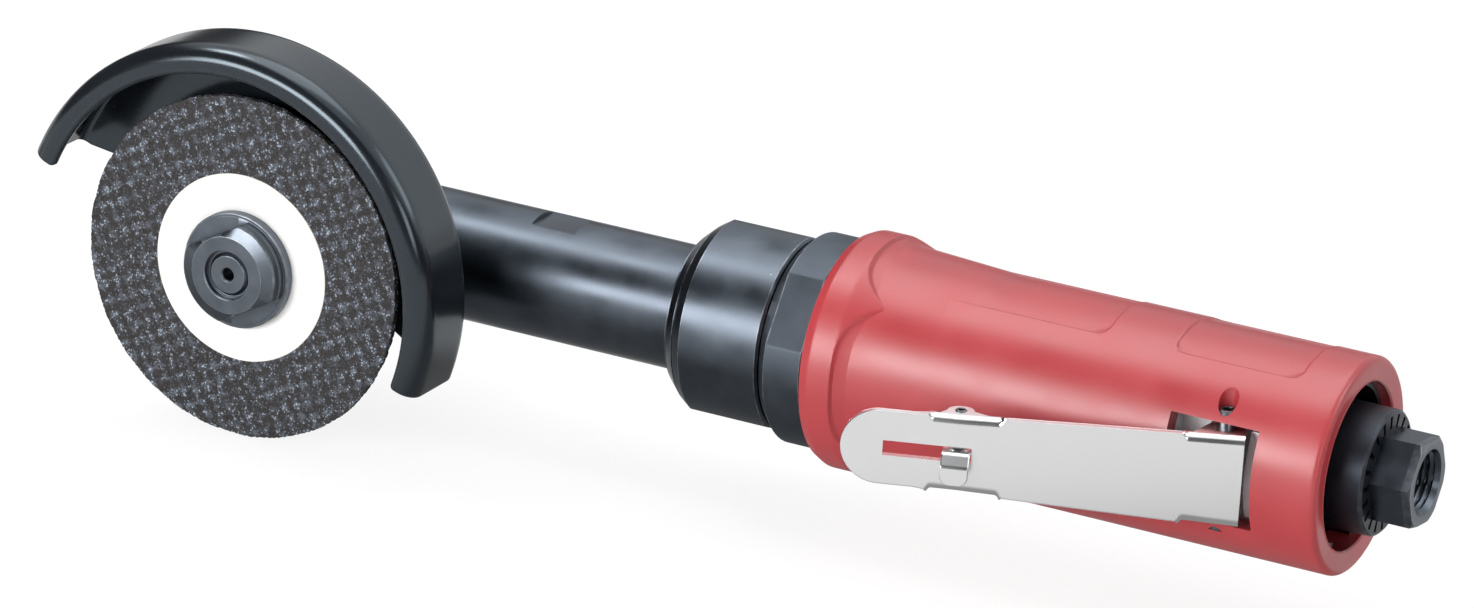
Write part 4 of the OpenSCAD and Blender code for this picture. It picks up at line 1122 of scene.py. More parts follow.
@dataclass
class Guard:
    """The pressed cup over the wheel: plate, rim, turned-in lip and a collar round the neck."""

    radius: float = 51.0
    back: float = 26.0
    depth: float = 19.0
    sheet: float = 2.5
    lip: float = 6.2
    corner: float = 4.0
    start: float = -19.2
    span: float = 178.0
    draw: float = 13.4
    draw_from: float = 1.0
    collar: float = 23.0
    collar_lap: float = 0.6
    collar_thin: float = 0.08
    neck: float = 16.05
    lip_corner: float = 1.2
    nose_steps: int = 6
    columns: int = 181
    edge_steps: tuple[float, ...] = (0.0, 0.12, 0.3, 0.55)

    def section(self) -> tuple[Array, int]:
        """Sheet section as radius and station, out along its outer face and back along its inner.

        The middle line has an arc at both corners of the rim. Both faces lie half a sheet from
        it, along its normal, and a half round closes the lip.

        Returns:
            Points, n by 2, and how many of them lie on the outer face.
        """
        half, bend = self.sheet / 2, self.corner - self.sheet / 2
        rim, low, high = self.radius - half, self.back + half, self.back + self.depth - half
        foot, edge = self.collar - self.collar_lap, self.radius - self.lip + half
        t = np.radians(np.linspace(0, 90, 13))
        plate = pairs(np.linspace(foot, rim - bend, 24), low)
        first = pairs(rim - bend + bend * np.sin(t), low + bend - bend * np.cos(t))
        wall = pairs(rim, np.linspace(low + bend, high - bend, 10))
        second = pairs(rim - bend + bend * np.cos(t), high - bend + bend * np.sin(t))
        lip = pairs(np.linspace(rim - bend, edge, 6), high)
        middle = np.concatenate([plate, first[1:], wall[1:], second[1:], lip[1:]])
        offset = right_of(np.gradient(middle, axis=0)) * half
        nose = np.radians(np.linspace(0, 90, self.nose_steps))[1:]
        outer_nose = middle[-1] + half * pairs(-np.sin(nose), np.cos(nose))
        inner_nose = middle[-1] + half * pairs(-np.sin(nose), -np.cos(nose))
        outer = np.concatenate([middle + offset, outer_nose])
        inner = np.concatenate([middle - offset, inner_nose[:-1]])
        return np.concatenate([outer, inner[::-1]]), len(outer)

    def inset(self, radius: Array, station: Array) -> Array:
        """Angle by which the sheet's ends draw in from the rim's ends, in radians.

        The plate's edge is a straight line that leaves the rim's end at the draw angle, so at
        radius r it lies at asin(reach sin(draw) / r) - draw. The lip's corner is a quarter round.

        Args:
            radius: Radii of the section's points.
            station: Stations of the section's points.

        Returns:
            The inset of each point.
        """
        reach, draw = self.radius - self.corner - self.draw_from, math.radians(self.draw)
        line = np.arcsin(np.clip(reach * math.sin(draw) / np.maximum(radius, 1), -1, 1)) - draw
        plate = np.where((station < self.back + self.depth / 3) & (radius < reach), line, 0.0)
        off = np.clip(self.lip_corner - (radius - self.radius + self.lip), 0, self.lip_corner)
        arc = (self.lip_corner - np.sqrt(np.maximum(self.lip_corner**2 - off**2, 0))) / radius
        return plate + np.where(station > self.back + 2 * self.depth / 3, arc, 0.0)

    def cup(self) -> Skin:
        """The sheet section carried round the spindle between its drawn-in ends.

        Returns:
            The closed skin, whose ends are rounded a little.
        """
        section, outer_rows = self.section()
        radius, station = section[:, :1], section[:, 1:]
        inset = self.inset(radius, station)
        low, high = math.radians(self.start), math.radians(self.start + self.span)
        angle = low + inset + np.linspace(0, 1, self.columns)[None] * (high - low - 2 * inset)
        steps, full = np.array(self.edge_steps), self.edge_steps[-1]
        ends = steps[None] / radius
        angle = np.concatenate([angle[:, :1] + ends, angle[:, 1:-1], angle[:, -1:] - ends[:, ::-1]], 1)
        pull = np.sqrt(np.clip(full**2 - (full - steps) ** 2, 0, None))
        thin = np.ones(angle.shape[1])
        thin[: len(steps)] = 1 - (full - pull) / (self.sheet / 2)
        thin[-len(steps) :] = thin[: len(steps)][::-1]
        shift = (section - section[::-1])[:, :, None] / 2 * (thin[None, None] - 1)
        r, s = radius + shift[:, 0], station + shift[:, 1]
        wear = np.zeros(angle.shape)
        wear[:, :3] = wear[:, -3:] = 1
        wear[outer_rows - self.nose_steps : outer_rows + self.nose_steps] = 0.5
        return grid_skin(SPINDLE.turn(r, s, angle), wear, True, False, mirror_caps=True)

    def ring(self) -> Skin:
        """The plate's round collar on the neck.

        Returns:
            The closed skin.
        """
        low, high = self.back + self.collar_thin, self.back + self.sheet - self.collar_thin
        corners = [
            (self.neck, low, 0.2),
            (self.collar, low, 0.5),
            (self.collar, high, 0.5),
            (self.neck, high, 0.2),
        ]
        return turned(SPINDLE, rounded(corners), ring_angles(180))

    def build(self, palette: Palette) -> None:
        """Makes the guard."""
        skin = self.cup().plus(self.ring())
        make_piece("guard_cup", skin, Seat("guard_cup", ("guard",), "black_enamel"), palette)


@dataclass
class AngleHead:
    """The head's barrel with its neck and arm, and the cap behind it."""

    barrel: float = 17.0
    neck: float = 16.0
    back: float = 13.32
    shoulder: float = 25.9
    front: float = 31.0
    bore: float = 12.74
    bearing: float = 14.02
    bearing_at: float = 13.5
    arm: float = 13.45
    arm_end: float = 23.0
    arm_bore: float = 11.02
    arm_bevel: float = 0.25
    arm_sunk: float = 2.0
    blend: float = 2.6
    blend_steps: int = 10
    cap_back: float = 15.74
    cap_gap: float = 0.05
    plug_fit: float = 0.02
    plug_to: float = 10.72
    boss: float = 9.3
    boss_to: float = 8.74
    cap_bearing: float = 7.52
    cap_bearing_to: float = 13.74
    spanner_at: float = 11.33
    spanner_hole: float = 1.6
    spanner_depth: float = 1.2

    def body(self) -> Skin:
        """The barrel: a turned shell with a neck for the guard.

        Returns:
            The closed skin.
        """
        corners = [
            (self.barrel, -self.back, 0.3),
            (self.barrel, self.shoulder, 0.5),
            (self.neck, self.shoulder, 0.2),
            (self.neck, self.front, 0.4),
            (self.bearing, self.front, 0.2),
            (self.bearing, self.bearing_at, 0.0),
            (self.bore, self.bearing_at, 0.0),
            (self.bore, -self.back, 0.2),
        ]
        return turned(SPINDLE, rounded(corners), ring_angles(180))

    def branch(self) -> Skin:
        """The arm: a tube that flares into the barrel along a quarter round.

        At turn t of the round the radius is arm + blend (1 - sin t), and the point stands
        blend (1 - cos t) off the barrel's surface at its own height.

        Returns:
            The closed skin, sunk a little into the barrel's wall.
        """
        angles, steps = ring_angles(180), self.blend_steps
        t = np.radians(np.linspace(0, 90, steps))
        flare = self.arm + self.blend * (1 - np.sin(t))
        off = self.blend * (1 - np.cos(t))
        tail = [self.arm, self.arm - self.arm_bevel, self.arm_bore, self.arm_bore]
        radius = np.concatenate([flare[:1], flare, tail])
        r, a = np.broadcast_arrays(radius[:, None], angles[None])
        height = np.clip(r * np.sin(a), -self.barrel, self.barrel)
        skin_x = np.sqrt(np.maximum(self.barrel**2 - height**2, 0))
        station = np.concatenate(
            [
                skin_x[:1] - self.arm_sunk,
                skin_x[1 : steps + 1] + off[:, None],
                np.full((1, len(angles)), self.arm_end - self.arm_bevel),
                np.full((2, len(angles)), self.arm_end),
                skin_x[-1:] - self.arm_sunk,
            ]
        )
        wear = np.zeros(r.shape)
        wear[steps + 1 : steps + 3] = 0.6
        return grid_skin(MOTOR.turn(r, station, a), wear, True, True)

    def cap(self) -> Skin:
        """The cap: a plate with a plug and a boss round its bearing.

        Returns:
            The closed skin.
        """
        plate, plug = -self.back - self.cap_gap, self.bore - self.plug_fit
        corners = [
            (0, -self.cap_back, 0),
            (self.barrel, -self.cap_back, 1.2),
            (self.barrel, plate, 0.25),
            (plug, plate, 0.0),
            (plug, -self.plug_to, 0.2),
            (self.boss, -self.plug_to, 0.0),
            (self.boss, -self.boss_to, 0.2),
            (self.cap_bearing, -self.boss_to, 0.0),
            (self.cap_bearing, -self.cap_bearing_to, 0.0),
            (0, -self.cap_bearing_to, 0),
        ]
        return turned(SPINDLE, rounded(corners), ring_angles(144))

    def build(self, palette: Palette) -> None:
        """Makes the head and its cap.

        Args:
            palette: Materials by slot.
        """
        bore = rod(MOTOR, self.arm_bore, 0.0, self.arm_end + CUT_OVER)
        shell = self.body().plus(self.branch())
        held = Seat("tool_body", ("angle_head",), "black_oxide")
        make_piece("head_shell", shell, held, palette, [bore], True)
        sides = [replace(SPINDLE, origin=(side * self.spanner_at, 0, 0)) for side in (-1, 1)]
        low, high = -self.cap_back - CUT_OVER, -self.cap_back + self.spanner_depth
        holes = [rod(side, self.spanner_hole, low, high) for side in sides]
        make_piece("head_cover", self.cap(), Seat("tool_body", ("head_cap",), "black_oxide"), palette, holes)


@dataclass
class Extension:
    """The tube between head and grip, the collar nut and the lock ring."""

    tube: float = 13.45
    tube_from: float = 23.0
    shoulder_at: float = 92.3
    shoulder: float = 17.15
    seat: float = 99.7
    end: float = 105.5
    screw: float = 18.5
    bearing: float = 11.02
    bearing_from: float = 79.7
    shaft_room: float = 6.0
    spigot_bore: float = 11.44
    spigot_to: float = 33.1
    flat_from: float = 53.0
    flat_to: float = 63.5
    flat_run: float = 0.4
    flat_across: float = 25.0
    collar_from: float = 93.0
    collar_to: float = 116.3
    collar: float = 21.5
    collar_gap: float = 0.05
    collar_face: float = 0.6
    cone_rise: float = 2.75
    cone_run: float = 2.4
    cone_to: float = 4.9
    groove_depth: float = 0.35
    groove_wide: float = 0.4
    groove_slant: float = 0.05
    groove_step: float = 0.25
    collar_rear: tuple[float, float] = (0.6, 0.5)
    collar_across: float = 40.8
    collar_facing: float = 112.0
    ring_from: float = 116.6
    ring_to: float = 127.5
    ring: float = 22.6
    ring_front: tuple[float, float] = (1.8, 1.9)
    ring_rear: tuple[float, float] = (1.0, 0.7)
    ring_across: float = 42.3
    ring_facing: float = 33.5
    thread: float = 19.05

    def pipe(self) -> Skin:
        """The tube, with a concave round to its shoulder and two wrench flats on top and below.

        Returns:
            The closed skin.
        """
        bend = self.shoulder - self.tube
        corners = [
            (self.spigot_bore, self.tube_from, 0.1),
            (self.tube, self.tube_from, 0.2),
            (self.tube, self.flat_from - self.flat_run, 0.0),
            (self.tube, self.flat_from, 0.0),
            (self.tube, self.flat_to, 0.0),
            (self.tube, self.flat_to + self.flat_run, 0.0),
            (self.tube, self.shoulder_at, bend * 0.98),
            (self.shoulder, self.shoulder_at, 0.15),
            (self.shoulder, self.seat, 0.1),
            (self.screw, self.seat, 0.1),
            (self.screw, self.end, 0.3),
            (self.bearing, self.end, 0.2),
            (self.bearing, self.bearing_from, 0.0),
            (self.shaft_room, self.bearing_from, 0.0),
            (self.shaft_room, self.spigot_to, 0.0),
            (self.spigot_bore, self.spigot_to, 0.0),
        ]
        knots = flat_knots(self.flat_across, 2 * self.tube, 90)
        shape = flats(self.flat_across, 90, self.flat_from - 0.01, self.flat_to + 0.01, 0.06)
        return turned(MOTOR, rounded(corners, 10), ring_angles(216, knots, 3), shape)

    def flatted(self, corners: Sequence[Corner], size: float, across: float, facing: float) -> Skin:
        """Turns a ring round the motor axis and cuts two flats on it.

        Args:
            corners: The ring's outline, as in rounded().
            size: Its outer radius.
            across: Distance across the flats.
            facing: Angle in degrees that one flat faces.

        Returns:
            The closed skin.
        """
        knots = flat_knots(across, 2 * size, facing)
        return turned(MOTOR, rounded(corners), ring_angles(216, knots, 4), flats(across, facing))

    def collar_nut(self) -> Skin:
        """The collar nut: a cone in front, a fine groove behind it, a bevel and two flats.

        Returns:
            The closed skin.
        """
        begin, end, hole = self.collar_from, self.collar_to, self.shoulder + self.collar_gap
        lip, lip_at = self.shoulder + self.cone_rise, begin + self.cone_run
        floor, step_at = lip - self.groove_depth, lip_at + self.groove_wide
        corners = [
            (hole, begin, 0.05),
            (self.shoulder + self.collar_face, begin, 0.1),
            (lip, lip_at, 0.1),
            (floor, lip_at + self.groove_slant, 0.0),
            (floor, step_at - self.groove_slant, 0.0),
            (lip + self.groove_step, step_at, 0.1),
            (self.collar, begin + self.cone_to, 0.35),
            (self.collar, end - self.collar_rear[1], 0.2),
            (self.collar - self.collar_rear[0], end, 0.2),
            (self.thread, end, 0.1),
            (self.thread, self.seat, 0.0),
            (hole, self.seat, 0.0),
        ]
        return self.flatted(corners, self.collar, self.collar_across, self.collar_facing)

    def lock_ring(self) -> Skin:
        """The lock ring: a chamfered ring with two flats.

        Returns:
            The closed skin.
        """
        begin, end = self.ring_from, self.ring_to
        corners = [
            (self.thread, begin, 0.1),
            (self.ring - self.ring_front[0], begin, 0.25),
            (self.ring, begin + self.ring_front[1], 0.3),
            (self.ring, end - self.ring_rear[1], 0.2),
            (self.ring - self.ring_rear[0], end, 0.2),
            (self.thread, end, 0.1),
        ]
        return self.flatted(corners, self.ring, self.ring_across, self.ring_facing)

    def build(self, palette: Palette) -> None:
        """Makes the tube and its two rings.

        Args:
            palette: Materials by slot.
        """
        for name, skin, node, matte in (
            ("tube_shell", self.pipe(), "extension_housing", 0.02),
            ("collar_ring", self.collar_nut(), "collar_nut", 0.0),
            ("jam_ring", self.lock_ring(), "lock_ring", 0.2),
        ):
            make_piece(name, skin, Seat("tool_body", (node,), "black_oxide"), palette, matte=matte)


@dataclass
class Grip:
    """The moulded grip housing, with a flared front, four thumb scoops and a lever pocket."""

    begin: float = 127.6
    end: float = 243.3
    radius: float = 22.9
    flange: float = 25.4
    bore: float = 18.6
    rear_bore: float = 17.6
    stop: float = 232.0
    snap: float = 234.3
    snap_gap: float = 0.1
    snap_wide: float = 1.5
    snap_deep: float = 0.6
    mouth: tuple[float, float] = (0.5, 0.6)
    front_bevel: tuple[float, float] = (1.2, 2.4)
    front_lip: float = 1.6
    soften: float = 0.35
    horn_from: float = 135.2
    horn_to: float = 143.5
    flare_to: float = 145.2
    scoop_len: float = 8.4
    scoop_power: float = 4.4
    scoop_run: float = 4.0
    step_drop: float = 0.62
    step_share: float = 0.75
    step_run: float = 0.55
    end_round: float = 1.5
    panel_depth: float = 0.4
    panel_half: float = 29.0
    panel_corner: float = 3.0
    panel_edge: float = 0.5
    panels: tuple[tuple[float, float], ...] = ((146.0, 190.0), (205.0, 233.0))
    first_row: float = 0.3
    close_to: float = 151.0
    close_rows: float = 0.25
    wide_rows: float = 1.3
    pocket_front: float = 11.2
    pocket_rear: float = 8.3
    pocket_half: float = 10.75
    pocket_floor: float = 13.5
    pocket_out: float = 60.0
    pin: float = 2.02
    pin_bite: float = 2.3
    pin_out: float = 40.0
    land: float = 19.6
    land_from: float = 5.4
    land_turn: float = 28.0

    def outside(self, station: Array, angle: Array) -> Array:
        """Radius of the grip's outer face.

        It is the lesser of the flared profile, softened by a running mean, and the four scoops.
        A scoop's front edge at a share u of its half width lies scoop_len (1 - u ** scoop_power)
        before the horn's tip. Behind it comes a short steep step, and what is left of the edge's
        rise falls to the grip as the square of what is left of a run that follows that rise. The
        panels and the end's round come off.

        Args:
            station: Stations, rows by columns.
            angle: Angles, rows by columns.

        Returns:
            The radius.
        """
        knots = (self.begin, self.begin + self.front_bevel[1], self.horn_from, self.flare_to)
        sizes = (self.flange - self.front_bevel[0], self.flange, self.flange, self.radius)
        near = np.linspace(-self.soften, self.soften, 9)
        base = np.mean([np.interp(station + d, knots, sizes) for d in near], axis=0)
        half = math.pi / 4
        share = np.abs((angle + half) % (2 * half) - half) / half
        edge = self.horn_to - self.scoop_len * (1 - share**self.scoop_power)
        slope = self.scoop_len * self.scoop_power * share ** (self.scoop_power - 1) / (self.flange * half)
        past = (station - edge) / np.hypot(1, slope)
        rise = np.maximum(base - self.radius, 0)
        top = np.interp(edge, knots, sizes) - self.radius
        step = np.minimum(self.step_drop, self.step_share * top)
        wall = (top - step) * np.clip(1 - past / (self.scoop_run * top), 0, None) ** 2
        wall = wall + step * np.clip(1 - past / self.step_run, 0, None)
        radius = self.radius + soft_min(rise, wall, 0.05)
        radius = radius - self.panel_depth * self.panel_mask(station, angle)
        late = np.clip(station - self.end + self.end_round, 0, self.end_round)
        return radius - self.end_round + np.sqrt(self.end_round**2 - late**2)

    def panel_mask(self, station: Array, angle: Array) -> Array:
        """1 on the two bare panels on top, from the distance to rounded rectangles.

        Args:
            station: Stations, rows by columns.
            angle: Angles, rows by columns.

        Returns:
            The mask, from 0 to 1.
        """
        mask = np.zeros(station.shape)
        along = np.abs((angle - math.pi / 2 + math.pi) % (2 * math.pi) - math.pi) * self.radius
        half, corner = math.radians(self.panel_half) * self.radius, self.panel_corner
        for low, high in self.panels:
            beside = np.abs(station - (low + high) / 2) - (high - low) / 2 + corner
            across = along - half + corner
            gap = np.hypot(np.maximum(beside, 0), np.maximum(across, 0)) - corner
            gap = gap + np.minimum(np.maximum(beside, across), 0)
            mask = np.maximum(mask, smooth_step(0.5 - gap / self.panel_edge))
        return mask

    def shell(self) -> Skin:
        """The outer face, the rear rim, the bores and the front rim as one closed grid.

        Returns:
            The closed skin.
        """
        ends = [edge for panel in self.panels for edge in panel]
        edges = np.concatenate([e + np.linspace(-self.panel_edge, self.panel_edge, 7) for e in ends])
        close = np.arange(self.begin + self.first_row, self.close_to, self.close_rows)
        wide = np.arange(self.close_to, self.end - self.end_round, self.wide_rows)
        tail = self.end - self.end_round * (1 - np.sin(np.radians(np.linspace(0, 90, 7))))
        rows = np.unique(np.concatenate([close, wide, edges, tail]))
        bore, groove = self.rear_bore, self.rear_bore + self.snap_deep
        ahead, behind = self.snap - self.snap_gap, self.snap + self.snap_wide
        inside, wear = rounded(
            [
                (bore + self.mouth[0], self.end, 0.2),
                (bore, self.end - self.mouth[1], 0.2),
                (bore, behind, 0.0),
                (groove, behind, 0.0),
                (groove, ahead, 0.0),
                (bore, ahead, 0.0),
                (bore, self.stop, 0.0),
                (self.bore, self.stop, 0.0),
                (self.bore, self.begin, 0.2),
                (self.flange - self.front_lip, self.begin, 0.0),
            ],
            3,
        )
        angles = ring_angles(340, (90 - self.panel_half, 90 + self.panel_half), 0.8, 7)
        s, a = np.broadcast_arrays(rows[:, None], angles[None])
        inner = np.broadcast_arrays(inside[:, :1], inside[:, 1:], angles[None], wear[:, None] * 0.5)
        outer = (self.outside(s, a), s, a, np.zeros(s.shape))
        radius, station, angle, mask = (np.concatenate(both) for both in zip(outer, inner))
        return grid_skin(MOTOR.turn(radius, station, angle), mask, True, True)

    def build(self, palette: Palette) -> None:
        """Makes the grip, cuts the lever's pocket and the pin's hole, and closes the pocket's rear.

        Args:
            palette: Materials by slot.
        """
        x = PIVOT[0]
        low = (x - self.pocket_front, -self.pocket_out, -self.pocket_half)
        high = (x + self.pocket_rear, -self.pocket_floor, self.pocket_half)
        hole = rod(replace(TOOL, origin=PIVOT), self.pin, -self.pocket_half - self.pin_bite, self.pin_out)
        held = Seat("tool_body", ("grip_housing",), "red_plastic")
        make_piece("grip_shell", self.shell(), held, palette, [block(low, high), hole])
        turn = np.radians(np.linspace(-self.land_turn, self.land_turn, 41))
        top = self.land * pairs(np.cos(turn), np.sin(turn))
        foot = pairs(self.pocket_floor, top[[-1, 0], 1])
        land = extruded(MOTOR, np.concatenate([top, foot]), x + self.land_from, x + self.pocket_rear)
        make_piece("valve_land", land, Seat("tool_body", (), "bare_aluminium"), palette)


@dataclass
class Throttle:
    """The pressed throttle lever, the lock lever on its pin, and the springs and pins."""

    sheet: float = 1.6
    lift: float = 7.6
    tail: float = 4.2
    length: float = 76.9
    tip: float = 7.85
    half_pivot: float = 9.85
    half_lock: float = 8.2
    ear_inset: float = 0.1
    bend: float = 0.9
    open_out: float = 3.0
    open_run: float = 2.4
    neck_from: float = LOCK_REACH + 4.9
    neck_run: float = 4.0
    ears: tuple[tuple[float, float, float, float, float], ...] = (
        (0.0, 0.0, 3.4, -4.9, 7.0),
        (LOCK_REACH, LOCK_LIFT, 2.8, LOCK_REACH - 8.2, LOCK_REACH + 4.9),
    )
    edge_ease: float = 0.22
    close_reach: float = 2.4
    row_step: float = 0.55
    core_power: float = 1.6
    slot_from: float = 50.3
    slot_to: float = 68.3
    slot_half: float = 1.6
    slot_under: float = 4.0
    slot_over: float = 2.0
    pivot_pin: float = 2.0
    pivot_half: float = 12.95
    pivot_gap: float = 0.05
    lock_pin: float = 1.2
    lock_half: float = 8.4
    lock_gap: float = 0.02
    hole_half: float = 15.0
    pin_shares: tuple[float, float, float] = (0.55, 0.85, 0.18)
    hub: float = 2.5
    half_web: float = 1.3
    web_half: float = 0.8
    web_lap: float = 0.5
    web_inset: float = 0.05
    dog: float = 5.4
    dog_half: float = 0.8
    dog_lean: float = 15.0
    dog_inset: float = 0.1
    tab_thick: float = 1.2
    tab_half: float = 2.9
    tab_edge: float = 0.3
    tab_round: float = 1.8
    tab_root: float = 2.6
    tab_drop: float = 0.2
    tab_out: float = 2.5
    tab_bend: float = 0.9
    tab_slope: float = 52.0
    tab_fall: float = 2.0
    tab_hang: float = 3.2
    coil_turns: int = 4
    lock_coil: tuple[float, float] = (1.7, 0.5)
    lock_coil_off: float = 0.6
    lock_coil_long: float = 4.2
    valve_coil: tuple[float, float] = (4.2, 0.8)
    valve_coil_from: float = 227.3
    valve_coil_long: float = 6.5
    valve_bend: tuple[float, float] = (228.1, 233.0)

    def bend_line(self, x: Array) -> Array:
        """Half-width at which the sheet starts to bend: inside its edge at the ears, past it elsewhere.

        Args:
            x: Distances from the pivot.

        Returns:
            The half-width at each.
        """
        near = [smooth_step(1 + np.minimum(x - ear[3], ear[4] - x) / self.open_run) for ear in self.ears]
        flat = self.open_out * (1 - np.max(near, axis=0))
        return self.half_width(x) - self.ear_inset - self.sheet / 2 - self.bend + flat

    def half_width(self, x: Array) -> Array:
        """Half-width of the lever between its ears."""
        return np.interp(x, (-self.tail, LOCK_REACH), (self.half_pivot, self.half_lock))

    def edge_line(self, x: Array) -> Array:
        """Half-width of the flat pattern without ears: plain sides, a neck and a round tip.

        Args:
            x: Distances from the pivot.

        Returns:
            The half-width at each.
        """
        sides = self.half_width(x)
        neck = smooth_step((x - self.neck_from) / self.neck_run)
        centre = self.length - self.tip
        nose = np.sqrt(np.maximum(self.tip**2 - np.maximum(x - centre, 0) ** 2, 0))
        return np.where(x > centre, nose, sides + (self.tip - sides) * neck)

    def ear_line(self, x: Array) -> Array:
        """Half-width of the flat pattern with ears.

        Each ear runs from its foot at the sheet down to the round of its eye. A depth below the
        sheet becomes an arc length in the bend, and counts as it is below the bend.

        Args:
            x: Distances from the pivot.

        Returns:
            The half-width, at least that of edge_line().
        """
        top = self.lift - self.sheet / 2
        pattern = self.edge_line(x)
        for eye_x, eye_y, eye, begin, end in self.ears:
            knots = (begin, eye_x - eye, eye_x + eye, end)
            line = np.interp(x, knots, (top, eye_y, eye_y, top), top, top)
            inside = np.abs(x - eye_x) < eye
            sweep = np.sqrt(np.maximum(eye**2 - (x - eye_x) ** 2, 0))
            bottom = np.where(inside, eye_y - sweep, line)
            depth = top - bottom
            arc = self.bend * np.arccos(np.clip(1 - depth / self.bend, 0, 1))
            down = arc + np.maximum(depth - self.bend, 0)
            pattern = np.where(depth > 0.02, np.maximum(pattern, self.bend_line(x) + down), pattern)
        return pattern

    def fold(self, x: Array, pattern: Array, off: float) -> Array:
        """Bends the flat pattern: flat, then a quarter round, then straight down.

        Args:
            x: Distances from the pivot.
            pattern: Distances from the middle line in the flat pattern, with a sign.
            off: Distance from the sheet's middle, outwards.

        Returns:
            Row-frame points.
        """
        side, reach = np.sign(pattern), np.abs(pattern)
        start = self.bend_line(x)
        turn = np.clip((reach - start) / self.bend, 0, math.pi / 2)
        straight = np.maximum(reach - start - self.bend * math.pi / 2, 0)
        y = self.lift - self.sheet / 2 - self.bend * (1 - np.cos(turn)) - straight
        z = np.minimum(reach, start) + self.bend * np.sin(turn)
        return LEVER.lay(x, y + off * np.cos(turn), side * (z + off * np.sin(turn)))

    def sheet_skin(self) -> Skin:
        """The lever: both faces of the folded sheet, with eased edges.

        Returns:
            The closed skin.
        """
        edges = [e for ear in self.ears for e in (ear[0] - ear[2], ear[0] + ear[2], ear[3], ear[4])]
        near = np.linspace(-self.close_reach, self.close_reach, 15)
        close = np.concatenate([e + near for e in edges])
        nose = self.length - self.tip + self.tip * np.sin(np.radians(np.linspace(0, 90, 30)))
        rows = np.concatenate([np.arange(-self.tail, self.length - self.tip, self.row_step), close, nose])
        x = np.unique(np.clip(rows, -self.tail, self.length - 1e-4))[:, None]
        core = 1 - np.linspace(1, 0, 30)[None] ** self.core_power
        ear = np.linspace(0, 1, 16)[None, 1:]
        edge, full = self.edge_line(x), self.ear_line(x)
        half = np.concatenate([core * edge, edge + ear * (full - edge)], 1)
        pattern = np.concatenate([-half[:, :0:-1], half], 1)
        ends, eased = pattern[:, [0, -1]], self.edge_ease
        inner = pattern.copy()
        inner[:, [0, -1]] = np.sign(ends) * np.maximum(np.abs(ends) - eased, 0)
        t = self.sheet / 2
        layers = [
            self.fold(x, inner, t),
            self.fold(x, pattern[:, -1:], t - eased),
            self.fold(x, pattern[:, -1:], eased - t),
            self.fold(x, inner, -t)[:, ::-1],
            self.fold(x, pattern[:, :1], eased - t),
            self.fold(x, pattern[:, :1], t - eased),
        ]
        loop = np.concatenate(layers, 1).transpose(1, 0, 2)
        wear = np.zeros(loop.shape[:2])
        width = pattern.shape[1]
        wear[width : width + 2] = wear[-2:] = 1
        skin = grid_skin(loop, wear, True, False)
        count, cols = loop.shape[:2]
        index = np.arange(count * cols).reshape(count, cols)
        for col, turn in ((0, 1), (cols - 1, -1)):
            top, low = index[:width, col], index[width + 2 : 2 * width + 2, col][::-1]
            strip = np.stack([top[:-1], top[1:], low[1:], low[:-1]], -1)
            skin.faces += strip[:, ::turn].tolist()
            right = [top[-1], index[width, col], index[width + 1, col], low[-1]]
            left = [low[0], index[-2, col], index[-1, col], top[0]]
            skin.faces += [[int(k) for k in f[::turn]] for f in (right, left)]
        return skin

    def tab_skin(self) -> Skin:
        """The lock lever's thumb tab: a sheet that leaves the slot, bends down and ends in a round.

        A rounded section is carried along the sheet's middle line: straight out, a bend to a slope
        of tab_slope, a straight stretch, a bend to the upright, and straight down. The line is the
        running sum of steps along its lean. The half width follows a round at the free end.

        Returns:
            The closed skin.
        """
        w, t, edge = self.tab_half, self.tab_thick / 2, self.tab_edge
        section, wear = rounded([(-w, -t, edge), (w, -t, edge), (w, t, edge), (-w, t, edge)], 5)
        first, second = math.radians(self.tab_slope), math.pi / 2
        bends = (self.tab_bend * first, self.tab_bend * (second - first))
        lengths = (self.tab_out, bends[0], self.tab_fall, bends[1], self.tab_hang)
        knots = np.concatenate([[0.0], np.cumsum(lengths)])
        along = np.linspace(0, knots[-1], 160)
        lean = np.interp(along, knots, (0, 0, first, first, second, second))
        step = np.diff(along, prepend=0.0)
        reach = self.tab_root + np.cumsum(step * np.cos(lean))
        height = self.half_web - self.tab_drop - t - np.cumsum(step * np.sin(lean))
        foot = np.clip(height[-1] + self.tab_round - height, 0, self.tab_round)
        half = w - self.tab_round + np.sqrt(self.tab_round**2 - foot**2)
        x = section[:, :1] / w * half[None]
        y = reach[None] + section[:, 1:] * np.sin(lean)
        points = LOCK.lay(x, y, height[None] + section[:, 1:] * np.cos(lean))
        skin = grid_skin(points, np.broadcast_to(wear[:, None], x.shape), True, False)
        rows, cols = x.shape
        for col, turn in ((0, 1), (cols - 1, -1)):
            skin.faces.append((np.arange(rows) * cols + col)[::turn].tolist())
        return skin

    def lock_lever(self) -> Skin:
        """The lock lever: tab, hub, web and dog as closed shells that run into each other.

        Returns:
            The shells as one skin.
        """
        turn = np.radians(np.linspace(0, 360, 40, endpoint=False))
        hub = self.hub * pairs(np.cos(turn), np.sin(turn))
        web = rectangle((-self.web_half, 0), (self.web_half, self.tab_root + self.web_lap))
        nose = np.radians(np.linspace(180, 360, 13))
        foot = pairs(self.dog_half * np.cos(nose), self.dog_half * np.sin(nose) - self.dog)
        dog = np.concatenate([foot, [[self.dog_half, 0], [-self.dog_half, 0]]])
        dog = turned_by(dog, math.radians(-self.dog_lean))
        insets = ((hub, 0.0), (web, self.web_inset), (dog, self.dog_inset))
        halves = [(part, self.half_web - inset) for part, inset in insets]
        return self.tab_skin().plus(*(extruded(LOCK, part, -half, half) for part, half in halves))

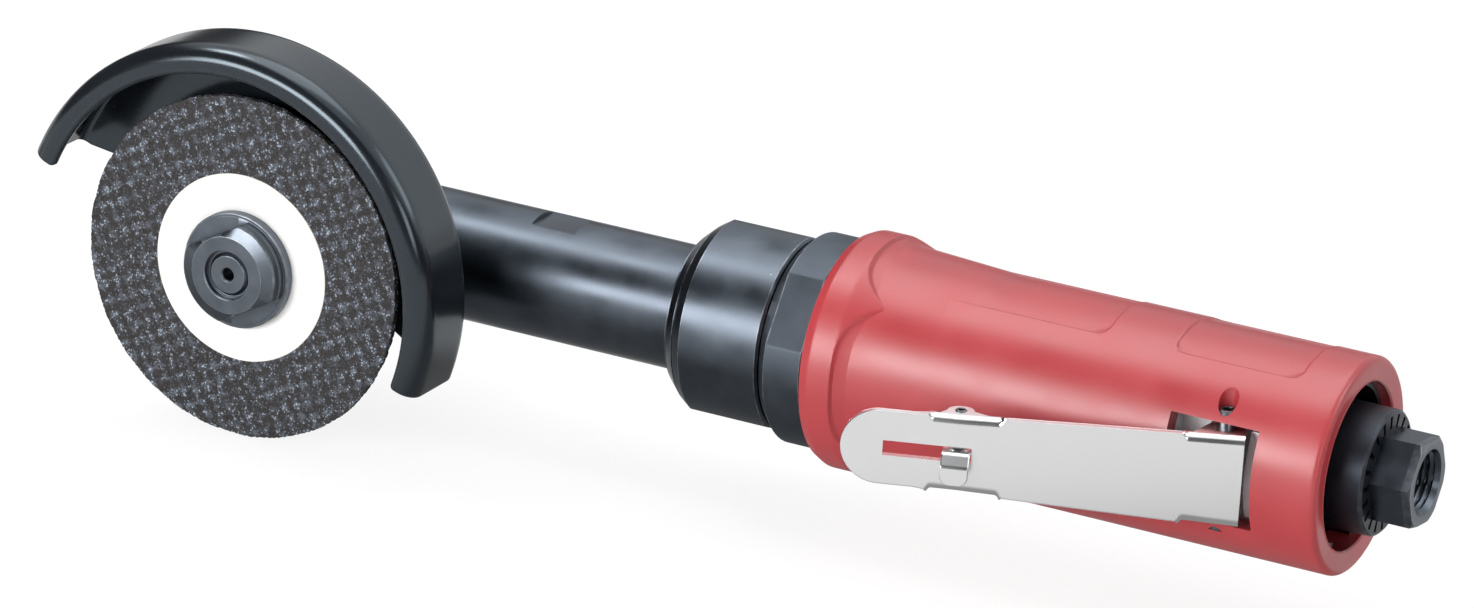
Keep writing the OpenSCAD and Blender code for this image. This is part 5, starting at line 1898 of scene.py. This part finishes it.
    def pin(self, frame: Frame, radius: float, half: float) -> Skin:
        """A rolled pin: a tube with chamfered ends.

        Args:
            frame: Frame on whose axis it lies.
            radius: Its outer radius.
            half: Half its length.

        Returns:
            The closed skin.
        """
        hole, face, bevel = (radius * share for share in self.pin_shares)
        ahead = [(hole, -half, 0.1), (face, -half, 0.1), (radius, bevel - half, 0.1)]
        corners = ahead + [(r, -station, fillet) for r, station, fillet in reversed(ahead)]
        return turned(frame, rounded(corners, 3), ring_angles(60))

    def build(self, palette: Palette) -> None:
        """Makes the lever, the lock lever, their pins and the two springs.

        Args:
            palette: Materials by slot.
        """
        opening = extruded(
            replace(LEVER, second=LEVER.third, third=LEVER.second),
            rectangle((self.slot_from, -self.slot_half), (self.slot_to, self.slot_half)),
            self.lift - self.slot_under,
            self.lift + self.slot_over,
            CUT_EDGE,
        )
        bores = ((LEVER, self.pivot_pin + self.pivot_gap), (LOCK, self.lock_pin + self.lock_gap))
        holes = [rod(frame, radius, -self.hole_half, self.hole_half) for frame, radius in bores]
        held = Seat("throttle", ("throttle_lever",), "bright_steel")
        make_piece("lever_sheet", self.sheet_skin(), held, palette, [opening, *holes])
        lever_pin = self.pin(LEVER, self.pivot_pin, self.pivot_half)
        lock_pin = self.pin(LOCK, self.lock_pin, self.lock_half)
        off = self.half_web + self.lock_coil_off
        wound = coil(LOCK, *self.lock_coil, off, self.lock_coil_long, self.coil_turns)
        for name, skin, node, body, slot in (
            ("lock_tab", self.lock_lever(), "lock_lever", "safety_lock", "bright_steel"),
            ("lever_pivot", lever_pin, "lever_pin", "tool_body", "gear_steel"),
            ("lock_pivot", lock_pin, "lock_pin", "throttle", "gear_steel"),
            ("lock_coil", wound, "lock_spring", "throttle", "spring_steel"),
        ):
            make_piece(name, skin, Seat(body, (node,), slot), palette)
        wound = coil(MOTOR, *self.valve_coil, self.valve_coil_from, self.valve_coil_long, self.coil_turns)
        held = Seat("tool_body", ("valve_spring",), "spring_steel", "tilting_valve", *self.valve_bend)
        make_piece("valve_coil", wound, held, palette)


@dataclass
class Rear:
    """The air inlet with its hexagon and thread, and the exhaust deflector round it."""

    shank: float = 8.5
    shank_from: float = 234.0
    hex_from: float = 249.1
    hex_to: float = 258.0
    hex_across: float = 17.5
    hex_turn: float = 6.0
    feed: float = 5.0
    thread: float = 5.9
    thread_from: float = 243.4
    thread_pitch: float = 1.41
    thread_depth: float = 0.75
    thread_fade: float = 2.0
    thread_rows: int = 10
    worn_rows: int = 18
    mouth: float = 1.1
    corner_cut: float = 0.9
    cone_slope: float = 1.36
    cone_rows: tuple[float, float] = (2.0, 1.9)
    deflector: float = 13.2
    rim: float = 17.5
    rim_step: float = 2.2
    wall: float = 1.6
    gap: float = 0.1
    flare_run: float = 4.3
    end_thick: float = 2.6
    end_bevel: float = 0.5
    stop: float = 232.0
    stop_wall: float = 0.9
    snap: float = 234.3
    slots: int = 20
    slot_in: float = 9.5
    slot_out: float = 12.2
    slot_half: float = 2.7
    slot_depth: float = 2.0
    slot_side: float = 0.03

    def inlet(self) -> Skin:
        """The inlet: a shank, a hexagon whose corners a cone takes off, and a cut thread.

        The hexagon's radius is half its width over the cosine of the angle from the nearest flat.
        The thread is a triangle wave of station over pitch plus turn, which fades at its end.

        Returns:
            The closed skin.
        """
        corner = self.hex_across / 2 / math.cos(math.pi / 6)
        plain = np.linspace(self.hex_from, self.hex_to - self.cone_rows[0], 8)
        coned = np.linspace(self.hex_to - self.cone_rows[1], self.hex_to, 20)
        outer = [(self.shank, self.shank_from), (self.shank, self.hex_from)]
        outer += [(corner, s) for s in (*plain, *coned)]
        mouth = self.hex_to - self.mouth
        count = int((mouth - self.thread_from) / self.thread_pitch * self.thread_rows)
        rows = np.linspace(mouth, self.thread_from, count)
        inner = [(self.thread + self.mouth, self.hex_to)] + [(self.thread, s) for s in rows]
        inner += [(self.feed, self.thread_from), (self.feed, self.shank_from)]
        outline = np.array(outer + inner)
        wear = np.zeros(len(outline))
        wear[len(outer) - self.worn_rows : len(outer)] = 0.5
        inside = np.arange(len(outline))[:, None] >= len(outer)
        angles = ring_angles(180, [self.hex_turn + 60 * k for k in range(6)], 3)

        def shape(radius: Array, station: Array, angle: Array) -> tuple[Array, Array]:
            """Cuts the hexagon outside and the thread inside.

            Args:
                radius: Radii of the grid.
                station: Stations of the grid.
                angle: Angles of the grid.

            Returns:
                The cut radii, and the stations as they are.
            """
            turn = (angle - math.radians(self.hex_turn)) % (math.pi / 3) - math.pi / 6
            cone = corner - self.corner_cut + (self.hex_to - station) * self.cone_slope
            six = soft_min(self.hex_across / 2 / np.cos(turn), cone, 0.2)
            outside = np.where((station >= self.hex_from) & ~inside & (radius > self.shank), six, radius)
            wave = (station / self.thread_pitch + angle / (2 * np.pi)) % 1.0
            fade = smooth_step((station - self.thread_from) / self.thread_fade)
            fade = fade * np.where(station < mouth + 0.01, 1.0, 0.0)
            groove = self.thread_depth * (1 - np.abs(2 * wave - 1)) * fade
            cut = inside & (np.abs(radius - self.thread) < 1e-6)
            return np.where(cut, radius + groove, outside), station

        return turned(MOTOR, (outline, wear), angles, shape)

    def exhaust(self) -> Skin:
        """The deflector: a flared sleeve whose end has radial slots sunk into it.

        Returns:
            The closed skin.
        """
        end, cone, side = self.hex_from, self.snap + self.flare_run, self.slot_side
        ahead, step_at = self.stop + self.gap, self.snap - self.gap
        neck, hole, inside = self.rim - self.rim_step, self.shank + self.gap, self.deflector - self.wall
        corners = [
            (self.rim - self.wall, ahead, 0.0),
            (self.rim, ahead, 0.1),
            (self.rim, step_at, 0.1),
            (neck, step_at, 0.0),
            (self.deflector, cone, 3.0),
            (self.deflector, end - self.end_bevel, 0.25),
            (self.deflector - self.end_bevel, end, 0.2),
            (self.slot_out + side, end, 0.0),
            (self.slot_out - side, end, 0.0),
            (self.slot_in + side, end, 0.0),
            (self.slot_in - side, end, 0.0),
            (hole, end, 0.1),
            (hole, end - self.end_thick, 0.0),
            (inside, end - self.end_thick, 0.0),
            (inside, cone, 0.0),
            (neck - self.wall, step_at, 0.0),
            (self.rim - self.wall, self.stop + self.stop_wall, 0.0),
        ]
        points, wear = rounded(corners, 8, 0.25)
        pitch = 360 / self.slots
        sides = [k * pitch + way * self.slot_half for k in range(self.slots) for way in (-1, 1)]
        angles = ring_angles(160, sides, 0.12, 4)

        def shape(radius: Array, station: Array, angle: Array) -> tuple[Array, Array]:
            """Sinks the slots into the end.

            Args:
                radius: Radii of the grid.
                station: Stations of the grid.
                angle: Angles of the grid.

            Returns:
                The radii as they are, and the sunk stations.
            """
            turn = np.abs((np.degrees(angle) + pitch / 2) % pitch - pitch / 2)
            slot = (turn < self.slot_half) & (radius < self.slot_out) & (radius > self.slot_in)
            return radius, station - np.where(slot & (station > end - 0.01), self.slot_depth, 0.0)

        return turned(MOTOR, (points, wear), angles, shape)

    def build(self, palette: Palette) -> None:
        """Makes the inlet and the deflector.

        Args:
            palette: Materials by slot.
        """
        for name, skin, node, slot in (
            ("inlet_fitting", self.inlet(), "inlet_bushing", "black_oxide"),
            ("exhaust_sleeve", self.exhaust(), "exhaust_deflector", "black_plastic"),
        ):
            make_piece(name, skin, Seat("tool_body", (node,), slot), palette)


def dress_nodes(nodes: dict[str, bpy.types.Object], record: dict, palette: Palette) -> None:
    """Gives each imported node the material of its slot.

    Args:
        nodes: Packed objects by name.
        record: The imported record.
        palette: Materials by slot.
    """
    for subpart in record["subparts"]:
        piece = nodes[subpart["node"]]
        material = palette.made[subpart["material_slot"]]
        if not piece.material_slots:
            piece.data.materials.append(material)
        for place in piece.material_slots:
            place.material = material


# Stage


@dataclass(frozen=True)
class Lamp:
    """A soft box: where it stands from the middle of the tool, its size and its power."""

    name: str
    direction: Point
    distance: float
    size: tuple[float, float]
    power: float


@dataclass
class Studio:
    """A pale floor, soft boxes, a plain sky and the photograph's camera."""

    floor_half: float = 4.0
    floor_color: Color = (0.9, 0.9, 0.9)
    floor_rough: float = 0.9
    floor_gap: float = 0.0003
    floor_glow: float = 0.8
    near_glow: float = 1.08
    far_glow: float = 1.3
    near_to: float = 0.4
    far_from: float = 1.0
    card_from: float = -0.12
    dark_from: float = -0.06
    dark_to: float = 0.0
    back_from: float = 0.03
    dark_glow: float = 0.3
    card_glow: float = 0.86
    sky: float = 0.16
    sky_color: Color = (0.97, 0.985, 1.0)
    sky_side: Point = (0.25, 0.45, 0.86)
    sky_from: float = 0.44
    sky_to: float = 0.58
    sky_dark: float = 0.06
    centre: Point = (-0.13, 0.0, 0.0)
    lamps: tuple[Lamp, ...] = (
        Lamp("top_box", (-0.15, 0.12, 0.95), 1.3, (1.3, 1.0), 9.0),
        Lamp("front_box", (-0.34, -0.9, 0.27), 1.25, (0.9, 0.36), 11.5),
        Lamp("left_box", (-0.55, -0.1, 0.83), 1.2, (0.25, 0.25), 2.2),
        Lamp("side_box", (0.75, -0.6, 0.3), 1.3, (0.4, 0.4), 2.0),
        Lamp("rear_box", (0.75, 0.25, 0.6), 1.3, (0.6, 0.6), 3.0),
    )
    camera_at: Point = (0.48005, -1.2666, 0.5228)
    camera_right: Point = (0.8826, 0.4667, 0.0563)
    camera_up: Point = (-0.2078, 0.2799, 0.9373)
    camera_back: Point = (0.4217, -0.8390, 0.3440)
    camera_clip: tuple[float, float] = (0.05, 50.0)
    lens: float = 175.3
    sensor: float = 36.0

    def floor(self, height: float) -> None:
        """A floor that the camera sees pale, with the shadow kept, and metal sees as a card on dark.

        Far from the tool, where less light falls, it glows more. In reflections it shows a painted
        shadow under the tool, and a painted pale card before and behind it.

        Args:
            height: The floor's z, in metres.
        """
        ring = rectangle((-self.floor_half,) * 2, (self.floor_half,) * 2)
        mesh = bpy.data.meshes.new("floor")
        mesh.from_pydata([(x, y, height) for x, y in ring], [], [(0, 1, 2, 3)])
        floor = bpy.data.objects.new("floor", mesh)
        bpy.context.scene.collection.objects.link(floor)
        material, w, shader, place = new_material("floor")
        w.fill(shader, {"Base Color": rgba(self.floor_color), "Roughness": self.floor_rough})
        path = w.add("ShaderNodeLightPath").outputs
        white = rgba((1.0, 1.0, 1.0))
        away = w.add("ShaderNodeVectorMath", {0: place}, operation="LENGTH").outputs["Value"]
        bright = w.span(away, self.near_to, self.far_from, self.near_glow, self.far_glow)
        glow = w.add("ShaderNodeEmission", {"Color": white, "Strength": bright})
        share = w.math("MULTIPLY", path["Is Camera Ray"], self.floor_glow)
        seen = w.add("ShaderNodeMixShader", {0: share, 1: shader.outputs[0], 2: glow.outputs[0]})
        # What metal sees in the floor: painted shade under the tool, and a painted pale card before and
        # behind it
        ahead = w.add("ShaderNodeSeparateXYZ", {0: place}).outputs[1]
        level = w.span(ahead, self.card_from, self.dark_from, self.card_glow, self.dark_glow)
        level = w.math("MAXIMUM", level, w.span(ahead, self.dark_to, self.back_from, 0.0, self.card_glow))
        card = w.add("ShaderNodeEmission", {"Color": white, "Strength": level})
        mirrored = {0: path["Is Glossy Ray"], 1: seen.outputs[0], 2: card.outputs[0]}
        mixed = w.add("ShaderNodeMixShader", mirrored)
        w.fill(w.tree.nodes["Material Output"], {"Surface": mixed.outputs[0]})
        mesh.materials.append(material)
        floor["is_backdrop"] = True

    def light(self) -> None:
        """The soft boxes and the plain sky."""
        scene = bpy.context.scene
        for lamp in self.lamps:
            data = bpy.data.lights.new(lamp.name, "AREA")
            data.shape, data.energy = "RECTANGLE", lamp.power
            data.size, data.size_y = lamp.size
            box = bpy.data.objects.new(lamp.name, data)
            way = np.array(lamp.direction) / np.linalg.norm(lamp.direction)
            box.location = np.array(self.centre) + way * lamp.distance
            box.rotation_euler = Vector(way).to_track_quat("Z", "Y").to_euler()
            scene.collection.objects.link(box)
        scene.world = self.backdrop()

    def backdrop(self) -> bpy.types.World:
        """A dim sky that the camera sees white, and that metal sees white above and behind the tool.

        Returns:
            The world, whose level in reflections follows the lean towards sky_side.
        """
        world = bpy.data.worlds.new("sky")
        world.use_nodes = True
        w = Wiring(world.node_tree)
        way = w.add("ShaderNodeTexCoord").outputs["Generated"]
        towards = {0: way, 1: self.sky_side}
        lean = w.add("ShaderNodeVectorMath", towards, operation="DOT_PRODUCT").outputs["Value"]
        path = w.add("ShaderNodeLightPath").outputs
        white = w.span(lean, self.sky_from, self.sky_to, self.sky_dark, 1.0)
        level = w.span(path["Is Glossy Ray"], 0, 1, self.sky, white)
        level = w.span(path["Is Camera Ray"], 0, 1, level, 1.0)
        w.fill(w.tree.nodes["Background"], {"Color": rgba(self.sky_color), "Strength": level})
        return world

    def camera(self) -> None:
        """The camera at the photograph's place, with its axes as fitted to the tool's edges."""
        data = bpy.data.cameras.new("camera")
        data.lens, data.sensor_width, data.sensor_fit = self.lens, self.sensor, "HORIZONTAL"
        data.clip_start, data.clip_end = self.camera_clip
        camera = bpy.data.objects.new("camera", data)
        axes = Matrix((self.camera_right, self.camera_up, self.camera_back)).transposed()
        camera.matrix_world = Matrix.Translation(self.camera_at) @ axes.to_4x4()
        bpy.context.scene.collection.objects.link(camera)
        bpy.context.scene.camera = camera

    def build(self, lowest: float) -> None:
        """Sets up the stage under the tool.

        Args:
            lowest: The tool's lowest z, in metres.
        """
        bpy.context.scene.view_settings.view_transform = "Standard"
        self.floor(lowest - self.floor_gap)
        self.light()
        self.camera()


def main() -> None:
    """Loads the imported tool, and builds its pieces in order."""
    logging.basicConfig(level=logging.INFO, format="%(message)s")
    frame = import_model()
    cad_box = [list(corner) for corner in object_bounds()]
    palette = Palette()
    for finish in (*FINISHES, AbrasiveFinish()):
        finish.build(palette)
    dress_nodes(frame["nodes"], frame["record"], palette)
    for assembly in (Wheel(), Guard(), AngleHead(), Extension(), Grip(), Throttle(), Rear()):
        LOG.info("building %s", type(assembly).__name__)
        assembly.build(palette)
    Studio().build(cad_box[0][2])


if __name__ == "__main__":
    main()
